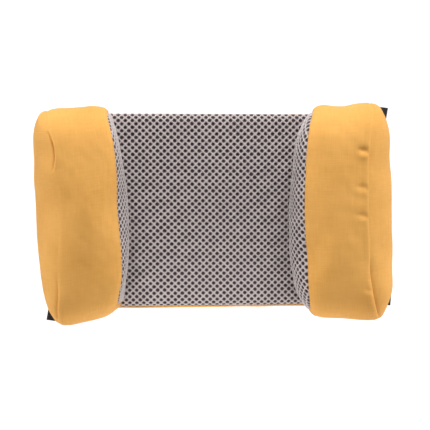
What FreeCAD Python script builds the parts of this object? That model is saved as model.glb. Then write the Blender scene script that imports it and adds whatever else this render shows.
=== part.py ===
import FreeCAD, Part
import math
import os

from FreeCAD import Vector

# Padded headrest attachment for a chair: a flat back pad, two wedge bolsters held on its
# front by hook strips, and two straps that wrap round the chair and close behind the pad.
#
# Millimetres. Seen from the front, +X is to the right, -Y is towards the viewer and +Z is up.
# The origin is the middle of the flat rear face, which rests on the chair.

# ---- back pad, in layers from the rear face (Y = 0) forwards -----------------------------
PAD_WIDTH = 334.0
PAD_HEIGHT = 196.0
PAD_CORNER = 12.0
PAD_DEPTH = 26.0
CLOTH = 1.0             # woven cover cloth
MESH = 3.0              # knitted spacer mesh
MESH_EDGE = 2.1         # rounding round the front of the mesh
BOARD = 2.5             # stiffening board
BOARD_INSET = 9.0       # board edge in from the pad edge
WADDING = 3.2           # soft layer between the board and the rear cloth
GAP = 0.05              # air between pieces that only touch
SEAM_UPPER_Z = 48.0     # plain seam across the rear cover

# ---- zip across the rear cover ------------------------------------------------------------
ZIP_Z = -45.0
ZIP_Y = -1.5            # middle plane of the chain
ZIP_HALF_OPENING = 140.0
SLOT_HEIGHT = 10.0      # slot in the cloth that shows the chain
TAPE_OVERRUN = 13.0     # tape beyond each end of the slot
TAPE_WIDTH = 10.8
TAPE = 0.8
COIL_WIDTH = 2.2
COIL_DEPTH = 2.0
COIL_ROUND = 0.6
COIL_SLIT = 1.2         # between the two coil rows
COIL_END = 3.0          # coil ends this far inside the slot
STOP_LENGTH = 2.8
STOP_OVER = 0.2         # stop stands this far proud of the coil
STOP_ROUND = 0.5

SLIDER_X = 128.0        # slider at the closed end
SLIDER_LENGTH = 13.0
SLIDER_WIDTH = 9.0
SLIDER_NOSE = 2.0       # depth of the rounded end
SLIDER_TAIL = 6.4       # width where the chain is closed
SLIDER_PLATE = 1.1
SLIDER_CLEAR = 0.25
SLIDER_WEB = (-1.5, 4.0)
SLIDER_WEB_CLEAR = 0.2
BAIL_HALF = 3.6         # arch that the pull hangs on
BAIL_HEIGHT = 3.0
BAIL_BAR = 1.0
BAIL_WIDTH = 1.6
BAIL_ROOT = 0.3         # depth that the arch sinks into the slider

PULL_HEIGHT = 0.95      # axis of the pull above the slider
PULL_BAR = 0.65         # radius
PULL_THICK = 1.3
PULL_NECK = 2.3         # half width at the bail
PULL_HALF = 3.6         # half width at the grip
PULL_REACH = 24.0
PULL_EYE = (4.8, 1.15)  # length beyond the axis and half width of the hole at the bail
PULL_GRIP = (11.0, 23.0, 1.6)  # start, end and half width of the grip hole

# ---- bolsters ------------------------------------------------------------------------------
BOLSTER_HALF_HEIGHT = 104.0
BOLSTER_BASE_DROP = 1.0       # the base is this much shorter at the top and at the bottom
BOLSTER_INNER_X = 84.0
BOLSTER_OUTER_X = 170.0
BOLSTER_FRONT_INNER_X = 81.0
BOLSTER_FRONT_OUTER_X = 141.0
BOLSTER_WIDEST_X = 174.6
BOLSTER_FRONT_Y = -97.0
BOLSTER_NOSE = 36.0           # radius of the top and bottom front edges, seen from the side
INNER_CROWN = 8.0
OUTER_CROWN = 16.0
FRONT_CROWN = 3.0
END_PULL_IN = 8.4             # how far the sides pull in just past the top and bottom
LEFT_LEAN = 4.4               # degrees each bolster leans towards -X at the top
RIGHT_LEAN = 1.0
LEFT_SHIFT = -2.5             # each bolster's place along X, from the drawn place
RIGHT_SHIFT = 0.5
HOOK = 1.2                    # hook strip under a bolster
HOOK_STRIP_WIDTH = 20.0
HOOK_STRIP_HALF_LENGTH = 76.0
HOOK_STRIP_OFFSET = 20.0      # from the middle of the base

# ---- straps --------------------------------------------------------------------------------
STRAP_WIDTH = 25.0
STRAP = 1.5
STRAP_ROLL = 2.05             # radius of the fold where a strap turns back
STRAP_REACH = 360.0           # fold to free end
UPPER_FOLD = (-173.0, 62.2)   # X and Z of each fold
LOWER_FOLD = (190.0, -91.0)
UPPER_SLANT = 5.0             # degrees that each strap rises towards +X
LOWER_SLANT = -0.7
TAIL_LENGTH = 48.0            # loose end of the strap
UPPER_TAIL_TURN = 0.0         # degrees that the loose end hangs off the line of its strap
LOWER_TAIL_TURN = 18.0
ANCHOR_START = 2.2            # from the axis of the fold to the sewn leg
ANCHOR_LENGTH = 66.0
UPPER_ANCHOR_SKEW = 0.0       # degrees between each sewn leg and its strap
LOWER_ANCHOR_SKEW = 6.5
TAB_LENGTH = 24.0             # doubled end of the strap
TAB_OVERLAP = 0.1
HOOK_PATCH_LENGTH = 66.0
HOOK_PATCH_MARGIN = 1.0       # inside the strap's edges
LOOP = 1.4                    # loop patch on the rear cover
LOOP_PATCH_WIDTH = 30.0
LOOP_PATCH_LENGTH = 86.0
LOOP_PATCH_NEAR = 62.0        # X of its inner end
LOOP_PATCH_EDGE = 96.0        # Z of its edge nearest the pad's edge
THREAD = 0.8                  # width of the stitching on a sewn leg
THREAD_HEIGHT = 0.35
STITCH_SQUARE = 19.0
STITCH_END = 4.0              # from the end of the leg

FAR = 400.0                   # longer than anything here
PAST = 10.0                   # how far a cutting shape runs past what it cuts
SAME = 1e-6

X_AXIS = Vector(1, 0, 0)
Y_AXIS = Vector(0, 1, 0)
Z_AXIS = Vector(0, 0, 1)
ORIGIN = Vector(0, 0, 0)

# levels along Y
REAR_CLOTH_FRONT = -CLOTH
WADDING_FRONT = REAR_CLOTH_FRONT - WADDING
BOARD_FRONT = WADDING_FRONT - GAP - BOARD
MESH_REAR = MESH - PAD_DEPTH
BOLSTER_BASE = -PAD_DEPTH - GAP - HOOK
STRAP_AXIS = STRAP_ROLL + GAP
STRAP_OUTER = STRAP_AXIS + STRAP_ROLL
STRAP_INNER = STRAP_OUTER - STRAP
COIL_TOP = ZIP_Y + COIL_DEPTH / 2
COIL_UNDER = ZIP_Y - COIL_DEPTH / 2
SLIDER_TOP = COIL_TOP + SLIDER_CLEAR + SLIDER_PLATE
SLIDER_UNDER = COIL_UNDER - SLIDER_CLEAR - SLIDER_PLATE
CHAIN_HALF = COIL_SLIT / 2 + COIL_WIDTH


# ---- outlines and plain blocks ---------------------------------------------------------------

def outline(place, start, *moves):
    """A closed flat face. place(a, b) gives the point for a pair of numbers.

    A move is the pair where a straight line ends, or an arc: (a pair on it, the pair where
    it ends). A last straight line closes the outline where it is needed.
    """
    edges = []
    here = first = place(*start)
    for move in moves:
        if isinstance(move[0], tuple):
            through, end = place(*move[0]), place(*move[1])
            edges.append(Part.Arc(here, through, end).toShape())
        else:
            end = place(*move)
            edges.append(Part.makeLine(here, end))
        here = end
    if here.distanceToPoint(first) > SAME:
        edges.append(Part.makeLine(here, first))
    return Part.Face(Part.Wire(edges))


def corner_depth(radius):
    """How far the middle of a quarter circle lies in from each of the two sides it joins."""
    return radius * (1 - math.sqrt(0.5))


def slab(width, height, radius, y_front, y_rear):
    """A rounded rectangular plate between two Y levels."""
    w, h, r, k = width / 2, height / 2, radius, corner_depth(radius)
    face = outline(
        lambda x, z: Vector(x, y_front, z),
        (-w, h - r), (-w, r - h), ((k - w, k - h), (r - w, -h)),
        (w - r, -h), ((w - k, k - h), (w, r - h)),
        (w, h - r), ((w - k, h - k), (w - r, h)),
        (r - w, h), ((k - w, h - k), (-w, h - r)),
    )
    return face.extrude(Vector(0, y_rear - y_front, 0))


def block(x, y, z):
    """A box. x, y and z each give two ends, in either order."""
    low = Vector(min(x), min(y), min(z))
    high = Vector(max(x), max(y), max(z))
    size = high - low
    return Part.makeBox(size.x, size.y, size.z, low)


# ---- back pad --------------------------------------------------------------------------------

def pad_front_mesh():
    plate = slab(PAD_WIDTH, PAD_HEIGHT, PAD_CORNER, -PAD_DEPTH, MESH_REAR)
    front = [e for e in plate.Edges if abs(e.CenterOfMass.y + PAD_DEPTH) < SAME]
    return plate.makeFillet(MESH_EDGE, front)


def pad_boxing():
    """The cloth band round the pad's edge."""
    outer = slab(PAD_WIDTH, PAD_HEIGHT, PAD_CORNER, MESH_REAR, REAR_CLOTH_FRONT)
    inner = slab(PAD_WIDTH - 2 * CLOTH, PAD_HEIGHT - 2 * CLOTH, PAD_CORNER - CLOTH,
                 MESH_REAR, REAR_CLOTH_FRONT)
    return outer.cut(inner)


def pad_filling(y_front, y_rear):
    """A layer that fills the cover from edge to edge."""
    inset = 2 * (CLOTH + GAP)
    return slab(PAD_WIDTH - inset, PAD_HEIGHT - inset, PAD_CORNER - CLOTH, y_front, y_rear)


def pad_board():
    inset = 2 * BOARD_INSET
    return slab(PAD_WIDTH - inset, PAD_HEIGHT - inset, PAD_CORNER,
                BOARD_FRONT, WADDING_FRONT - GAP)


def rear_wadding():
    """The soft rear layer, with a slot that clears the zip and its slider."""
    reach = ZIP_HALF_OPENING + TAPE_OVERRUN
    half = CHAIN_HALF + TAPE_WIDTH + COIL_WIDTH
    slot = block((-reach, reach), (WADDING_FRONT - 1, 0), (ZIP_Z - half, ZIP_Z + half))
    return pad_filling(WADDING_FRONT, REAR_CLOTH_FRONT).cut(slot)


def rear_panel(z_low, z_high):
    """One cloth panel of the rear cover."""
    sheet = slab(PAD_WIDTH, PAD_HEIGHT, PAD_CORNER, REAR_CLOTH_FRONT, 0)
    return sheet.common(block((-FAR, FAR), (-FAR, FAR), (z_low, z_high)))


def rear_lower_panel():
    """The panel below the zip. It runs past both ends of the slot that shows the chain."""
    panel = rear_panel(-FAR, ZIP_Z + SLOT_HEIGHT / 2)
    slot = block((-ZIP_HALF_OPENING, ZIP_HALF_OPENING), (-FAR, FAR), (ZIP_Z - SLOT_HEIGHT / 2, FAR))
    return panel.cut(slot)


# ---- zip -------------------------------------------------------------------------------------

def zip_tape(side):
    """side is 1 for the upper tape and -1 for the lower."""
    reach = ZIP_HALF_OPENING + TAPE_OVERRUN - GAP
    near = ZIP_Z + side * CHAIN_HALF
    return block((-reach, reach), (ZIP_Y - TAPE / 2, ZIP_Y + TAPE / 2),
                 (near, near + side * TAPE_WIDTH))


def zip_coil(side):
    reach = ZIP_HALF_OPENING - COIL_END
    near = ZIP_Z + side * COIL_SLIT / 2
    rail = block((-reach, reach), (COIL_UNDER, COIL_TOP), (near, near + side * COIL_WIDTH))
    lengthwise = [e for e in rail.Edges if abs(e.tangentAt(e.FirstParameter).x) > 0.9]
    return rail.makeFillet(COIL_ROUND, lengthwise)


def zip_stops():
    """Metal clips that close the chain at both ends."""
    clips = []
    for end in (-ZIP_HALF_OPENING, ZIP_HALF_OPENING - STOP_LENGTH):
        clip = block((end, end + STOP_LENGTH), (COIL_UNDER - STOP_OVER, COIL_TOP + STOP_OVER),
                     (ZIP_Z - CHAIN_HALF, ZIP_Z + CHAIN_HALF))
        clips.append(clip.makeFillet(STOP_ROUND, clip.Edges))
    return Part.makeCompound(clips)


def slider_plate(y_low):
    """One leaf of the slider: wide where the chain parts, narrower where it is closed."""
    half, wide, narrow = SLIDER_LENGTH / 2, SLIDER_WIDTH / 2, SLIDER_TAIL / 2
    face = outline(
        lambda x, z: Vector(SLIDER_X + x, y_low, ZIP_Z + z),
        (-half, -narrow), (0, -wide), (half - SLIDER_NOSE, -wide),
        ((half, 0), (half - SLIDER_NOSE, wide)), (0, wide), (-half, narrow),
    )
    return face.extrude(Vector(0, SLIDER_PLATE, 0))


def slider_bail():
    """The arch that the pull hangs on."""
    foot = BAIL_HALF - BAIL_BAR
    arch = outline(
        lambda x, y: Vector(SLIDER_X + x, SLIDER_TOP + y, ZIP_Z - BAIL_WIDTH / 2),
        (-BAIL_HALF, -BAIL_ROOT), ((0, BAIL_HEIGHT), (BAIL_HALF, -BAIL_ROOT)),
        (foot, -BAIL_ROOT), ((0, BAIL_HEIGHT - BAIL_BAR), (-foot, -BAIL_ROOT)),
    )
    return arch.extrude(Vector(0, 0, BAIL_WIDTH))


def zip_slider():
    half_web = COIL_SLIT / 2 - SLIDER_WEB_CLEAR
    web = block([SLIDER_X + x for x in SLIDER_WEB], (SLIDER_UNDER, SLIDER_TOP),
                (ZIP_Z - half_web, ZIP_Z + half_web))
    leaves = slider_plate(SLIDER_TOP - SLIDER_PLATE).fuse(slider_plate(SLIDER_UNDER))
    return leaves.fuse(web).fuse(slider_bail()).removeSplitter()


def zip_pull():
    """The pull lies along the chain, and turns on a bar through the slider's arch."""
    axis = Vector(SLIDER_X, SLIDER_TOP + PULL_HEIGHT, ZIP_Z)
    under, over = axis.y - PULL_THICK / 2, axis.y + PULL_THICK / 2
    taper = (PULL_EYE[0] + PULL_BAR, PULL_GRIP[0] - PULL_GRIP[2])
    tab = outline(
        lambda x, z: Vector(axis.x - x, under, axis.z + z),
        (0, -PULL_NECK), (taper[0], -PULL_NECK), (taper[1], -PULL_HALF), (PULL_REACH, -PULL_HALF),
        ((PULL_REACH + PULL_HALF, 0), (PULL_REACH, PULL_HALF)),
        (taper[1], PULL_HALF), (taper[0], PULL_NECK), (0, PULL_NECK),
    ).extrude(Vector(0, PULL_THICK, 0))
    eye = block((axis.x - PULL_EYE[0], axis.x + 1), (under - 1, over + 1),
                (axis.z - PULL_EYE[1], axis.z + PULL_EYE[1]))
    grip = block((axis.x - PULL_GRIP[0], axis.x - PULL_GRIP[1]), (under - 1, over + 1),
                 (axis.z - PULL_GRIP[2], axis.z + PULL_GRIP[2]))
    bar = Part.makeCylinder(PULL_BAR, 2 * PULL_NECK, axis - Vector(0, 0, PULL_NECK), Z_AXIS)
    return tab.cut(eye).cut(grip).fuse(bar).removeSplitter()


# ---- bolsters --------------------------------------------------------------------------------

def bolster_wedge(inner, outer):
    """The wedge seen from above, taller and longer than the bolster.

    inner and outer say how far the two sides are set in.
    """
    x_in, x_out = BOLSTER_INNER_X + inner, BOLSTER_OUTER_X - outer
    f_in, f_out = BOLSTER_FRONT_INNER_X + inner, BOLSTER_FRONT_OUTER_X - outer
    base, front = BOLSTER_BASE, BOLSTER_FRONT_Y
    middle = (base + front) / 2
    slope = math.atan2(x_out - f_out, base - front)
    inner_crown = ((x_in + f_in) / 2 - INNER_CROWN, middle)
    outer_crown = ((x_out + f_out) / 2 + OUTER_CROWN * math.cos(slope),
                   middle - OUTER_CROWN * math.sin(slope))
    face = outline(
        lambda x, y: Vector(x, y, -FAR / 2),
        (x_in, base + PAST), (x_in, base), (inner_crown, (f_in, front)), (f_in, front - PAST),
        (f_out, front - PAST), (f_out, front), (outer_crown, (x_out, base)), (x_out, base + PAST),
    )
    return face.extrude(Vector(0, 0, FAR))


def bolster_bow(inner, outer):
    """The bowed sides seen from the front, taller and deeper than the bolster."""
    h = BOLSTER_HALF_HEIGHT + PAST
    x_in = BOLSTER_INNER_X - INNER_CROWN + inner
    x_out = BOLSTER_WIDEST_X - outer
    end_in, end_out = x_in + END_PULL_IN, x_out - END_PULL_IN
    face = outline(
        lambda x, z: Vector(x, -FAR / 2, z),
        (end_in, -h), (end_out, -h), ((x_out, 0), (end_out, h)),
        (end_in, h), ((x_in, 0), (end_in, -h)),
    )
    return face.extrude(Vector(0, FAR, 0))


def bolster_side(inset):
    """The D shape seen from the side, wider than the bolster, set in all round."""
    h = BOLSTER_HALF_HEIGHT - inset
    h_base = h - BOLSTER_BASE_DROP
    base, front = BOLSTER_BASE - inset, BOLSTER_FRONT_Y + inset
    r = BOLSTER_NOSE - inset
    k = corner_depth(r)
    face = outline(
        lambda y, z: Vector(0, y, z),
        (base, -h_base), (front + r, -h), ((front + k, k - h), (front, r - h)),
        ((front - FRONT_CROWN, 0), (front, h - r)), ((front + k, h - k), (front + r, h)),
        (base, h_base),
    )
    return face.extrude(Vector(FAR, 0, 0))


def bolster_body(inner=0.0, outer=0.0, band=0.0):
    """The bolster cushion with its inner side, outer side and band set in by these amounts."""
    sides = bolster_wedge(inner, outer).common(bolster_bow(inner, outer))
    return sides.common(bolster_side(band))


def hook_strips():
    """Two strips sewn under a bolster, which grip the face of the pad."""
    middle = (BOLSTER_INNER_X + BOLSTER_OUTER_X) / 2
    half = HOOK_STRIP_WIDTH / 2
    strips = []
    for x in (middle - HOOK_STRIP_OFFSET, middle + HOOK_STRIP_OFFSET):
        strips.append(block((x - half, x + half), (BOLSTER_BASE, BOLSTER_BASE + HOOK),
                            (-HOOK_STRIP_HALF_LENGTH, HOOK_STRIP_HALF_LENGTH)))
    return Part.makeCompound(strips)


def bolster_pieces():
    """Every piece of a bolster, drawn upright on the right of the pad, by name."""
    whole = bolster_body()
    without_inner = bolster_body(inner=MESH)
    without_sides = bolster_body(inner=MESH, outer=CLOTH)
    foam = bolster_body(inner=MESH, outer=CLOTH, band=CLOTH)
    band = without_sides.cut(foam)
    base_zone = block((-FAR, FAR), (BOLSTER_BASE - CLOTH, FAR), (-FAR, FAR))
    return {
        "bolster_inner_mesh": whole.cut(without_inner),
        "bolster_outer_panel": without_inner.cut(without_sides),
        "bolster_boxing": band.cut(base_zone),
        "bolster_base_panel": band.common(base_zone),
        "bolster_foam": foam,
        "bolster_hook_strips": hook_strips(),
    }


def placed_bolster(shape, side):
    """A bolster piece on its own side of the pad, leant over about its own middle."""
    centre = Vector((BOLSTER_INNER_X + BOLSTER_OUTER_X) / 2, 0, 0)
    if side == "right":
        placed, lean, shift = shape.copy(), RIGHT_LEAN, RIGHT_SHIFT
    else:
        placed, lean, shift = shape.mirror(ORIGIN, X_AXIS), LEFT_LEAN, LEFT_SHIFT
        centre = centre * -1
    placed.rotate(centre, Y_AXIS, -lean)
    placed.translate(Vector(shift, 0, 0))
    return placed


# ---- straps ----------------------------------------------------------------------------------

def placed_strap(shape, strap):
    """A strap piece, drawn with its fold at the origin and its run along +X, in its own place.

    The upper strap folds at -X and closes towards +X. The lower one runs the other way.
    """
    placed = shape.copy()
    if strap == "upper":
        turn, (x, z) = UPPER_SLANT, UPPER_FOLD
    else:
        turn, (x, z) = LOWER_SLANT + 180, LOWER_FOLD
    placed.rotate(ORIGIN, Y_AXIS, -turn)
    placed.translate(Vector(x, 0, z))
    return placed


def strap_webbing(tail_turn):
    """The moving run: a roll at the fold, the flat webbing, and its loose, doubled end."""
    half = STRAP_WIDTH / 2
    elbow = Vector(STRAP_REACH - TAIL_LENGTH, 0, 0)
    roll = Part.makeCylinder(STRAP_ROLL, STRAP_WIDTH, Vector(0, STRAP_AXIS, -half), Z_AXIS)
    run = block((0, elbow.x), (STRAP_INNER, STRAP_OUTER), (-half, half))
    bend = Part.makeCylinder(half, STRAP, elbow + Vector(0, STRAP_INNER, 0), Y_AXIS)
    flat = block((0, TAIL_LENGTH), (STRAP_INNER, STRAP_OUTER), (-half, half))
    tab = block((TAIL_LENGTH - TAB_LENGTH, TAIL_LENGTH),
                (STRAP_OUTER - TAB_OVERLAP, STRAP_OUTER + STRAP), (-half, half))
    tail = flat.fuse(tab)
    tail.rotate(ORIGIN, Y_AXIS, -tail_turn)
    tail.translate(elbow)
    return roll.fuse(run).fuse(bend).fuse(tail).removeSplitter()


def strap_hook_patch():
    half = STRAP_WIDTH / 2 - HOOK_PATCH_MARGIN
    end = STRAP_REACH - TAIL_LENGTH
    return block((end - HOOK_PATCH_LENGTH, end), (LOOP + GAP, STRAP_INNER), (-half, half))


def anchor_placing(skew):
    """Where a sewn leg starts and how it is turned, so that it clears the fold's roll."""
    start = ANCHOR_START + STRAP_WIDTH / 2 * math.sin(math.radians(skew))
    return Vector(start, 0, 0), skew


def strap_anchor(skew):
    """The sewn leg that lies on the rear cover."""
    half = STRAP_WIDTH / 2
    start, turn = anchor_placing(skew)
    leg = block((0, ANCHOR_LENGTH), (0, STRAP), (-half, half))
    leg.rotate(ORIGIN, Y_AXIS, turn)
    leg.translate(start)
    return leg


def anchor_stitching(skew):
    """A sewn square with both diagonals, standing on the end of the sewn leg."""
    half = STITCH_SQUARE / 2
    inside = half - THREAD
    height = (STRAP, STRAP + THREAD_HEIGHT)
    stitches = block((-half, half), height, (-half, half))
    stitches = stitches.cut(block((-inside, inside), (0, FAR), (-inside, inside)))
    reach = math.sqrt(2) * inside
    for turn in (45, -45):
        diagonal = block((-reach, reach), height, (-THREAD / 2, THREAD / 2))
        diagonal.rotate(ORIGIN, Y_AXIS, turn)
        stitches = stitches.fuse(diagonal)
    start, turn = anchor_placing(skew)
    stitches.translate(Vector(ANCHOR_LENGTH - STITCH_END - half, 0, 0))
    stitches.rotate(ORIGIN, Y_AXIS, turn)
    stitches.translate(start)
    return stitches.removeSplitter()


def loop_patch(strap):
    """The loop patch sewn level on the rear cover, near its top or bottom edge."""
    side = 1 if strap == "upper" else -1
    near, edge = side * LOOP_PATCH_NEAR, side * LOOP_PATCH_EDGE
    return block((near, near + side * LOOP_PATCH_LENGTH), (0, LOOP),
                 (edge, edge - side * LOOP_PATCH_WIDTH))


# ---- all pieces ------------------------------------------------------------------------------

def pad_pieces():
    return {
        "pad_front_mesh": pad_front_mesh(),
        "pad_boxing": pad_boxing(),
        "pad_foam": pad_filling(MESH_REAR, BOARD_FRONT - GAP),
        "pad_board": pad_board(),
        "rear_wadding": rear_wadding(),
        "rear_upper_panel": rear_panel(SEAM_UPPER_Z, FAR),
        "rear_centre_panel": rear_panel(ZIP_Z + SLOT_HEIGHT / 2, SEAM_UPPER_Z),
        "rear_lower_panel": rear_lower_panel(),
    }


def zip_pieces():
    return {
        "zip_upper_tape": zip_tape(1),
        "zip_lower_tape": zip_tape(-1),
        "zip_upper_coil": zip_coil(1),
        "zip_lower_coil": zip_coil(-1),
        "zip_stops": zip_stops(),
        "zip_slider": zip_slider(),
        "zip_pull": zip_pull(),
    }


def both_bolsters():
    pieces = {}
    for name, shape in bolster_pieces().items():
        for side in ("left", "right"):
            pieces[f"{side}_{name}"] = placed_bolster(shape, side)
    return pieces


def both_straps():
    pieces = {}
    for strap, tail_turn, skew in (
        ("upper", UPPER_TAIL_TURN, UPPER_ANCHOR_SKEW),
        ("lower", LOWER_TAIL_TURN, LOWER_ANCHOR_SKEW),
    ):
        pieces[f"{strap}_strap_webbing"] = placed_strap(strap_webbing(tail_turn), strap)
        pieces[f"{strap}_strap_hook_patch"] = placed_strap(strap_hook_patch(), strap)
        pieces[f"{strap}_strap_anchor"] = placed_strap(strap_anchor(skew), strap)
        pieces[f"{strap}_anchor_stitching"] = placed_strap(anchor_stitching(skew), strap)
        pieces[f"{strap}_loop_patch"] = loop_patch(strap)
    return pieces


os.makedirs("parts", exist_ok=True)
for group in (pad_pieces(), zip_pieces(), both_bolsters(), both_straps()):
    for name, shape in group.items():
        shape.exportStep(f"parts/{name}.step")
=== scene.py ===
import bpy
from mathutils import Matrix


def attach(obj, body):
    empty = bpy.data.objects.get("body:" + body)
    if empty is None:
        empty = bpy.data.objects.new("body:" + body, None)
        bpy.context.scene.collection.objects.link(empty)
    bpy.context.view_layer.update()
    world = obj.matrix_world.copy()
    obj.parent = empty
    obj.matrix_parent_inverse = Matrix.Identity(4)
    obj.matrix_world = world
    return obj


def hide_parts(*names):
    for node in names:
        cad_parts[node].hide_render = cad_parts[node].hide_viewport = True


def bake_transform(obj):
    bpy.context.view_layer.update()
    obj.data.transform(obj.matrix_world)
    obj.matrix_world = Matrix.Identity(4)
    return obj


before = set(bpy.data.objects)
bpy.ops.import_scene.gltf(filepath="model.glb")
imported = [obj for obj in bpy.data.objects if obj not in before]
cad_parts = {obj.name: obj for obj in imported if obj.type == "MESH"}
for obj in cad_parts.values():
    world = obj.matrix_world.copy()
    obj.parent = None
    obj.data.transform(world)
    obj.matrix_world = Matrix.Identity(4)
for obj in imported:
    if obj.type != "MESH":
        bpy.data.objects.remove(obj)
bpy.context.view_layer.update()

import math

import bmesh
import bpy
import numpy as np
from mathutils import Vector
from mathutils.bvhtree import BVHTree

# Lengths are in millimetres until a mesh is made. X is to the right seen from the front,
# the front faces -Y, and Z is up. The flat rear face of the pad is at Y = 0.
MM = 0.001
REARWARD = (0.0, 1.0, 0.0)

# Bolster covers. Each seam is a D seen along X, with its flat side on the pad. inner_x and outer_x
# give its X at places along the front of the D, from -1 at the bottom rear corner to 1 at the top.
BASE_Y = -28.25
BASE_SKIN = 1.0
CLOTH = 1.0
SIDES = {
    "right": {
        "sign": 1,
        "middle": 128.0,
        "strips_middle": 127.5,
        "lean": math.radians(1.0),
        "inner_ends": (97.0, 99.5),
        "inner_front": -91.0,
        "outer_ends": (105.3, 104.5),
        "outer_front": -94.0,
        "inner_x": ([-1, -0.72, -0.58, -0.41, -0.11, 0.04, 0.33, 0.47, 0.59, 0.72, 1],
                    [95, 91.5, 87, 83, 79.5, 79.0, 80.7, 82.6, 86.6, 92.5, 99]),
        "outer_x": ([-1, -0.68, -0.56, -0.37, -0.16, 0.04, 0.30, 0.40, 0.75, 1],
                    [160, 157.5, 151.3, 144.1, 140.7, 139.3, 139.2, 140.6, 149.5, 151]),
        "inner_bow": 13.5,
        "outer_bow": 12.0,
        "inner_crown": 8.0,
        "outer_crown": 18.5,
        "top_dip": 4.0,
        "bottom_dip": 1.0,
        "seam_fill": 1.6,
        "drawn_below": -45.0,
        "top_shoulder": 0.27,
        "waist": 0.0,
        "seed": 11,
    },
    "left": {
        "sign": -1,
        "middle": -128.0,
        "strips_middle": -129.5,
        "lean": math.radians(4.4),
        "inner_ends": (93.5, 96.5),
        "inner_front": -91.0,
        "outer_ends": (104.5, 99.5),
        "outer_front": -94.0,
        "inner_x": ([-1, -0.72, -0.54, -0.46, -0.37, -0.25, -0.1, 0.04, 0.19, 0.43, 0.55, 0.7, 1],
                    [-91, -94, -91.0, -88.2, -87.4, -87.0, -87.6, -89.2, -89.8, -94.4, -98.4,
                     -102.6, -103]),
        "outer_x": ([-1, -0.75, -0.59, -0.45, -0.25, 0.05, 0.15, 0.22, 0.29, 0.35, 0.42, 0.52,
                     0.7, 1],
                    [-141.5, -150, -151, -149, -147.3, -144.7, -146.2, -149.5, -151.8, -151,
                     -151.2, -155.5, -160, -159.5]),
        "inner_bow": 2.0,
        "outer_bow": 19.0,
        "inner_crown": 2.0,
        "outer_crown": 14.0,
        "top_dip": 2.0,
        "bottom_dip": -1.0,
        "seam_fill": 0.7,
        "drawn_below": -62.0,
        "top_shoulder": 0.55,
        "waist": 0.14,
        "seed": 23,
    },
}


# ---- numbers ----------------------------------------------------------------------------------

def curve_through(at, xs, ys):
    """A smooth curve through a few points (monotone cubic), read at the places given."""
    xs, ys = np.asarray(xs, float), np.asarray(ys, float)
    h = np.diff(xs)
    d = np.diff(ys) / h
    m = np.zeros(len(xs))
    m[0], m[-1] = d[0], d[-1]
    for i in range(1, len(xs) - 1):
        if d[i - 1] * d[i] > 0:
            a, b = 2 * h[i] + h[i - 1], h[i] + 2 * h[i - 1]
            m[i] = (a + b) / (a / d[i - 1] + b / d[i])
    at = np.clip(at, xs[0], xs[-1])
    k = np.clip(np.searchsorted(xs, at) - 1, 0, len(xs) - 2)
    t = (at - xs[k]) / h[k]
    value = ys[k] * (1 + 2 * t) * (1 - t) ** 2 + m[k] * h[k] * t * (1 - t) ** 2
    return value + ys[k + 1] * t * t * (3 - 2 * t) + m[k + 1] * h[k] * t * t * (t - 1)


def wave_noise(p, seed, scale, terms=7):
    """Smooth repeatable noise: a sum of plane waves. p is (..., 3) and scale is a length."""
    rng = np.random.default_rng(seed)
    total = np.zeros(p.shape[:-1])
    for _ in range(terms):
        direction = rng.normal(size=3)
        direction /= np.linalg.norm(direction)
        pitch = scale * rng.uniform(0.7, 1.5)
        total += np.sin(p @ direction * (2 * math.pi / pitch) + rng.uniform(0, 2 * math.pi))
    return total / math.sqrt(terms)


def unit(v):
    return v / np.maximum(np.linalg.norm(v, axis=-1, keepdims=True), 1e-9)


def grid_normals(grid):
    """Unit normals of a (rows, columns, 3) grid, along rows x columns."""
    return unit(np.cross(np.gradient(grid, axis=0), np.gradient(grid, axis=1)))


def spread(x, y, z):
    """One (rows, columns, 3) grid from three coordinates that broadcast together."""
    return np.stack(np.broadcast_arrays(x, y, z), axis=-1).astype(float)


def arc_lengths(grid, axis):
    """Distance along a grid from its first row or column."""
    step = np.linalg.norm(np.diff(grid, axis=axis), axis=-1)
    start = np.zeros_like(np.take(step, [0], axis=axis))
    return np.concatenate([start, np.cumsum(step, axis=axis)], axis=axis)


def cloth_coordinates(grid):
    """Distance along the rows and columns of a grid, in metres, for the weave."""
    rows, columns = arc_lengths(grid, 0), arc_lengths(grid, 1)
    middle_row, middle_column = grid.shape[0] // 2, grid.shape[1] // 2
    across = columns - columns[:, middle_column:middle_column + 1]
    along = rows - rows[middle_row:middle_row + 1]
    return np.stack([across, along, np.zeros_like(along)], axis=-1) * MM


def smooth_loop(values, sigma):
    """Rounds a closed loop of values. sigma is in samples."""
    reach = int(3 * sigma) + 1
    kernel = np.exp(-0.5 * (np.arange(-reach, reach + 1) / sigma) ** 2)
    kernel /= kernel.sum()
    padded = np.concatenate([values[-reach:], values, values[:reach]])
    return np.convolve(padded, kernel, mode="valid")


def resample(grid, rows, columns):
    """Reads a grid at fractional rows and columns with Catmull-Rom curves."""
    def along(values, at):
        n = len(values)
        padded = np.concatenate([2 * values[:1] - values[1:2], values,
                                 2 * values[-1:] - values[-2:-1]])
        k = np.clip(np.floor(at).astype(int), 0, n - 2)
        t = (at - k).reshape((-1,) + (1,) * (values.ndim - 1))
        p0, p1, p2, p3 = (padded[k + i] for i in range(4))
        return 0.5 * (2 * p1 + (p2 - p0) * t + (2 * p0 - 5 * p1 + 4 * p2 - p3) * t ** 2
                      + (3 * p1 - p0 - 3 * p2 + p3) * t ** 3)
    half = along(grid, np.asarray(rows, float))
    return np.swapaxes(along(np.swapaxes(half, 0, 1), np.asarray(columns, float)), 0, 1)


def dense_ends(last, count, length, fine):
    """Fractional places from 0 to last, with steps of about "fine" mm at both ends."""
    t = np.linspace(0, 1, count)
    eased = 0.5 - 0.5 * np.cos(t * math.pi)
    mix = min(1.0, fine / length * (count - 1))
    return (t * mix + eased * (1 - mix)) * last


# ---- meshes -----------------------------------------------------------------------------------

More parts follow.
